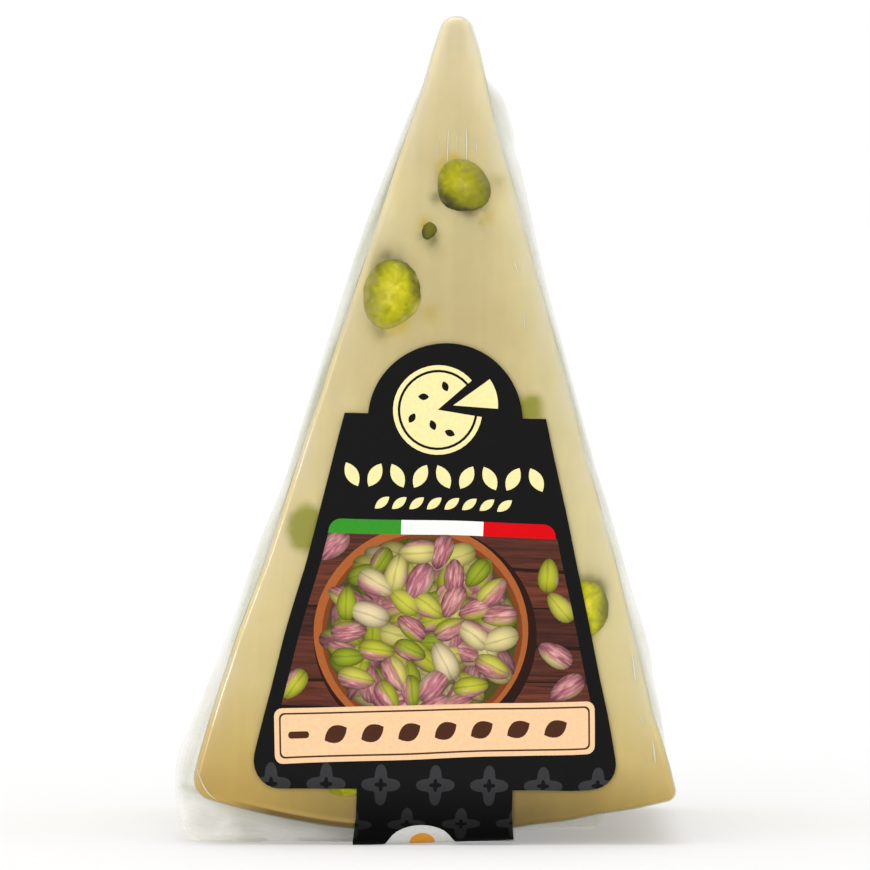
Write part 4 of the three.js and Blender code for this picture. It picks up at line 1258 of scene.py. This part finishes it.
def printed_kernels(tree, finish):
    """The nuts of the label's picture: three layers in the bowl and a few loose on the boards."""
    kernel = kernel_shape()
    u, v, radius = BOWL
    bowl = flat_ground(oval(u, v, radius - 2.7, radius - 2.7, steps=40))
    loose = [flat_ground(place) for place in LOOSE]
    # What each lies on, its spacing, sizes and seed, its height above the paper and how light it is.
    heaps = [(bowl, 1.7, 0.9, 1.1, 1, 0.004, 0.5), (bowl, 2.1, 0.85, 1.1, 2, 0.034, 0.8),
             (bowl, 2.7, 0.85, 1.1, 3, 0.064, 1.0)]
    heaps += [(ground, 4.0, 0.85, 1.0, 4 + i, 0.004, 0.95) for i, ground in enumerate(loose)]
    bm = bmesh.new()
    for ground, spacing, smallest, largest, seed, lift, lit in heaps:
        heap = grown(tree, in_scene("carrier", ground.data), "heap", {
            "Piece": kernel, "Spacing": spacing, "Density": 5.0, "Smallest": smallest, "Largest": largest,
            "Seed": seed + SEED, "Finish": finish})
        heap.data.transform(Matrix.Translation((0, 0, lift)))
        give(heap.data, {"lit": [lit] * len(heap.data.vertices)})
        bm.from_mesh(heap.data)
        bpy.data.objects.remove(heap)
    # Where the picture ends, the print of the nuts ends with it.
    _, v, _, height, turn = PLAQUE
    limits = [((0, 65.4, 0), (0, -1, 0)), ((13.4, 65.4, 0), (20.5, -4.8, 0)),
              ((-13.4, 65.4, 0), (-20.5, -4.8, 0)),
              ((0, v - height / 2, 0), (math.sin(turn), math.cos(turn), 0))]
    for point, away in limits:
        cut = bmesh.ops.bisect_plane(bm, geom=bm.verts[:] + bm.edges[:] + bm.faces[:], plane_co=point,
                                     plane_no=away, clear_outer=True)
        bmesh.ops.holes_fill(bm, edges=[e for e in cut["geom_cut"] if isinstance(e, bmesh.types.BMEdge)])
    for vertex in bm.verts:
        vertex.co = label_point(*vertex.co)
    mesh = bpy.data.meshes.new("printed_nuts")
    bm.to_mesh(mesh)
    bm.free()
    mesh.materials.append(finish)
    piece = in_scene("printed_nuts", mesh)
    tidy(piece, 80)
    for spare in (kernel, bowl, *loose):
        bpy.data.objects.remove(spare)
    return piece


# ---- Creases in the film, as a tree of geometry nodes -------------------------------------------

def crease_tree():
    """Turns lines into thin ridges of film that taper by their own width at each point."""
    tree = new_tree("film_crease", {"Radius": "Float", "Finish": "Material"})
    given = add(tree, "NodeGroupInput").outputs
    line = add(tree, "GeometryNodeMeshToCurve", {"Mesh": given["Geometry"]})
    section = add(tree, "GeometryNodeCurvePrimitiveCircle", {"Resolution": 6, "Radius": given["Radius"]})
    width = add(tree, "GeometryNodeInputNamedAttribute", {"data_type": "FLOAT", "Name": "width"})
    ridge = add(tree, "GeometryNodeCurveToMesh", {
        "Curve": line, "Profile Curve": section, "Scale": width, "Fill Caps": True})
    real = add(tree, "GeometryNodeRealizeInstances", {"Geometry": ridge})
    done = add(tree, "GeometryNodeSetMaterial", {"Geometry": real, "Material": given["Finish"]})
    add(tree, "NodeGroupOutput", {"Geometry": done})
    return tree


# Creases on the front, each as points (x, s) and how far it stands out where it is thickest.
CREASES = [
    ([(-0.62, 17.2), (-0.6, 19.5), (-0.55, 21.6)], 0.09),
    ([(1.5, 17.2), (1.6, 19.2), (1.7, 21.4)], 0.11),
    ([(25.5, 88.8), (25.9, 91.6)], 0.14),
    ([(22.9, 78.7), (23.5, 82.3)], 0.14),
    ([(7.5, 32.8), (8.1, 34.3)], 0.1),
    ([(8.9, 38.6), (9.1, 41.6)], 0.07),
    ([(23.9, 86.1), (24.6, 87.0)], 0.12),
    ([(-28.0, 92.4), (-27.3, 94.3), (-26.5, 95.6), (-25.4, 96.5)], 0.1),
    ([(-1.9, 18.4), (-1.8, 21.6)], 0.05),
    ([(0.4, 17.6), (0.5, 20.4)], 0.05),
    ([(2.7, 18.0), (2.9, 20.8)], 0.05),
]


def film_creases(tree, finish):
    """The creases, each thickest in its middle."""
    corners, lines, widths = [], [], []
    for points, width in CREASES:
        line = spline(points, 24)
        first = len(corners)
        corners += [set_down(x, FRONT + 0.02, s) for x, s in line]
        lines += [(first + i, first + i + 1) for i in range(len(line) - 1)]
        widths += [width * max(0.12, math.sin(math.pi * i / (len(line) - 1))) for i in range(len(line))]
    mesh = bpy.data.meshes.new("creases")
    mesh.from_pydata(corners, lines, [])
    give(mesh, {"width": widths})
    piece = grown(tree, in_scene("creases", mesh), "film_creases", {"Radius": 1.0 * MM, "Finish": finish})
    count = len(piece.data.vertices)
    # The creases take the weld's near-white milky tone: the whiteness of folded film, and a painted
    # highlight for the glints along them.
    give(piece.data, {"margin": [0.8] * count, "inside": [0.9] * count})
    tidy(piece, 80)
    return piece


# ---- Studio -------------------------------------------------------------------------------------

def add_camera():
    """Straight in front and a little above, from about a metre away."""
    camera = bpy.data.cameras.new("camera")
    camera.sensor_width, camera.lens = 36.0, 351.0
    camera.clip_start, camera.clip_end = 0.05, 100.0
    holder = in_scene("camera", camera)
    aim = Vector((-2.71, FRONT, 48.47)) * MM
    rise, distance = math.radians(1.5), 1.0
    holder.location = aim + Vector((0, -math.cos(rise), math.sin(rise))) * distance
    holder.rotation_euler = (aim - holder.location).to_track_quat("-Z", "Y").to_euler()
    bpy.context.scene.camera = holder


def add_light(name, at, aim, width, height, power):
    """A soft lamp at one place that shines on another, in metres and watts."""
    light = bpy.data.lights.new(name, "AREA")
    light.shape, light.size, light.size_y, light.energy = "RECTANGLE", width, height, power
    holder = in_scene(name, light)
    holder.location = at
    holder.rotation_euler = (Vector(aim) - holder.location).to_track_quat("-Z", "Z").to_euler()
    return holder


def add_studio():
    """A white backdrop, a lamp overhead, two from the left, and the floor."""
    world = bpy.data.worlds.new("white_backdrop")
    world.use_nodes = True
    world.node_tree.nodes.clear()
    light = add(world.node_tree, "ShaderNodeBackground", {"Color": "#ffffff", "Strength": 1.0})
    add(world.node_tree, "ShaderNodeOutputWorld", {"Surface": light})
    bpy.context.scene.world = world
    bpy.context.scene.view_settings.view_transform = "Standard"
    add_light("overhead", (-0.1, -0.1, 1.1), (0, 0, 0.05), 1.0, 1.0, 4.0)
    add_light("left_strip", (-0.31, -0.58, 0.02), (0, -0.03, 0.05), 0.08, 0.28, 0.45)
    add_light("left_fill", (-0.31, -0.58, 0.2), (0, -0.03, 0.05), 0.3, 0.4, 0.34).visible_glossy = False
    mesh = bpy.data.meshes.new("floor")
    mesh.from_pydata([(-15, -6, 0), (15, -6, 0), (15, 40, 0), (-15, 40, 0)], [], [(0, 1, 2, 3)])
    mesh.materials.append(studio_floor())
    floor = in_scene("floor", mesh)


# ---- Assembly -----------------------------------------------------------------------------------

# Without a seed the dents would be different in each run.
noise.seed_set(SEED)
add_camera()
add_studio()

film_finish, weld_finish, kernel_finish = vacuum_film(), welded_film(), pistachio_kernel()
nuts, nut_spots = cut_nuts(kernel_finish)
cheese = cheese_wedge(pecorino_paste(), nut_spots)
film = film_skin(film_finish)
edge_flange = flange(weld_finish)
gather = film_gather(weld_finish)
creases = film_creases(crease_tree(), weld_finish)

inks = {name: printed_paper("printed_" + name, colour, dark=name in ("black", "motif"))
        for name, colour in INKS.items()}
inks.update({name: printed_board("printed_" + name, *tones) for name, tones in BOARDS.items()})
label = paper_label(inks)
picture_nuts = printed_kernels(scatter_tree(), printed_kernel())

for made in (cheese, film, edge_flange, gather, creases):
    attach(made, "root")
    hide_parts("vacuum_pack")
for made in (label, picture_nuts):
    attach(made, "root")
    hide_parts("label")
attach(nuts, "root")
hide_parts(*sorted(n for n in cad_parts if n.startswith("pistachio")))
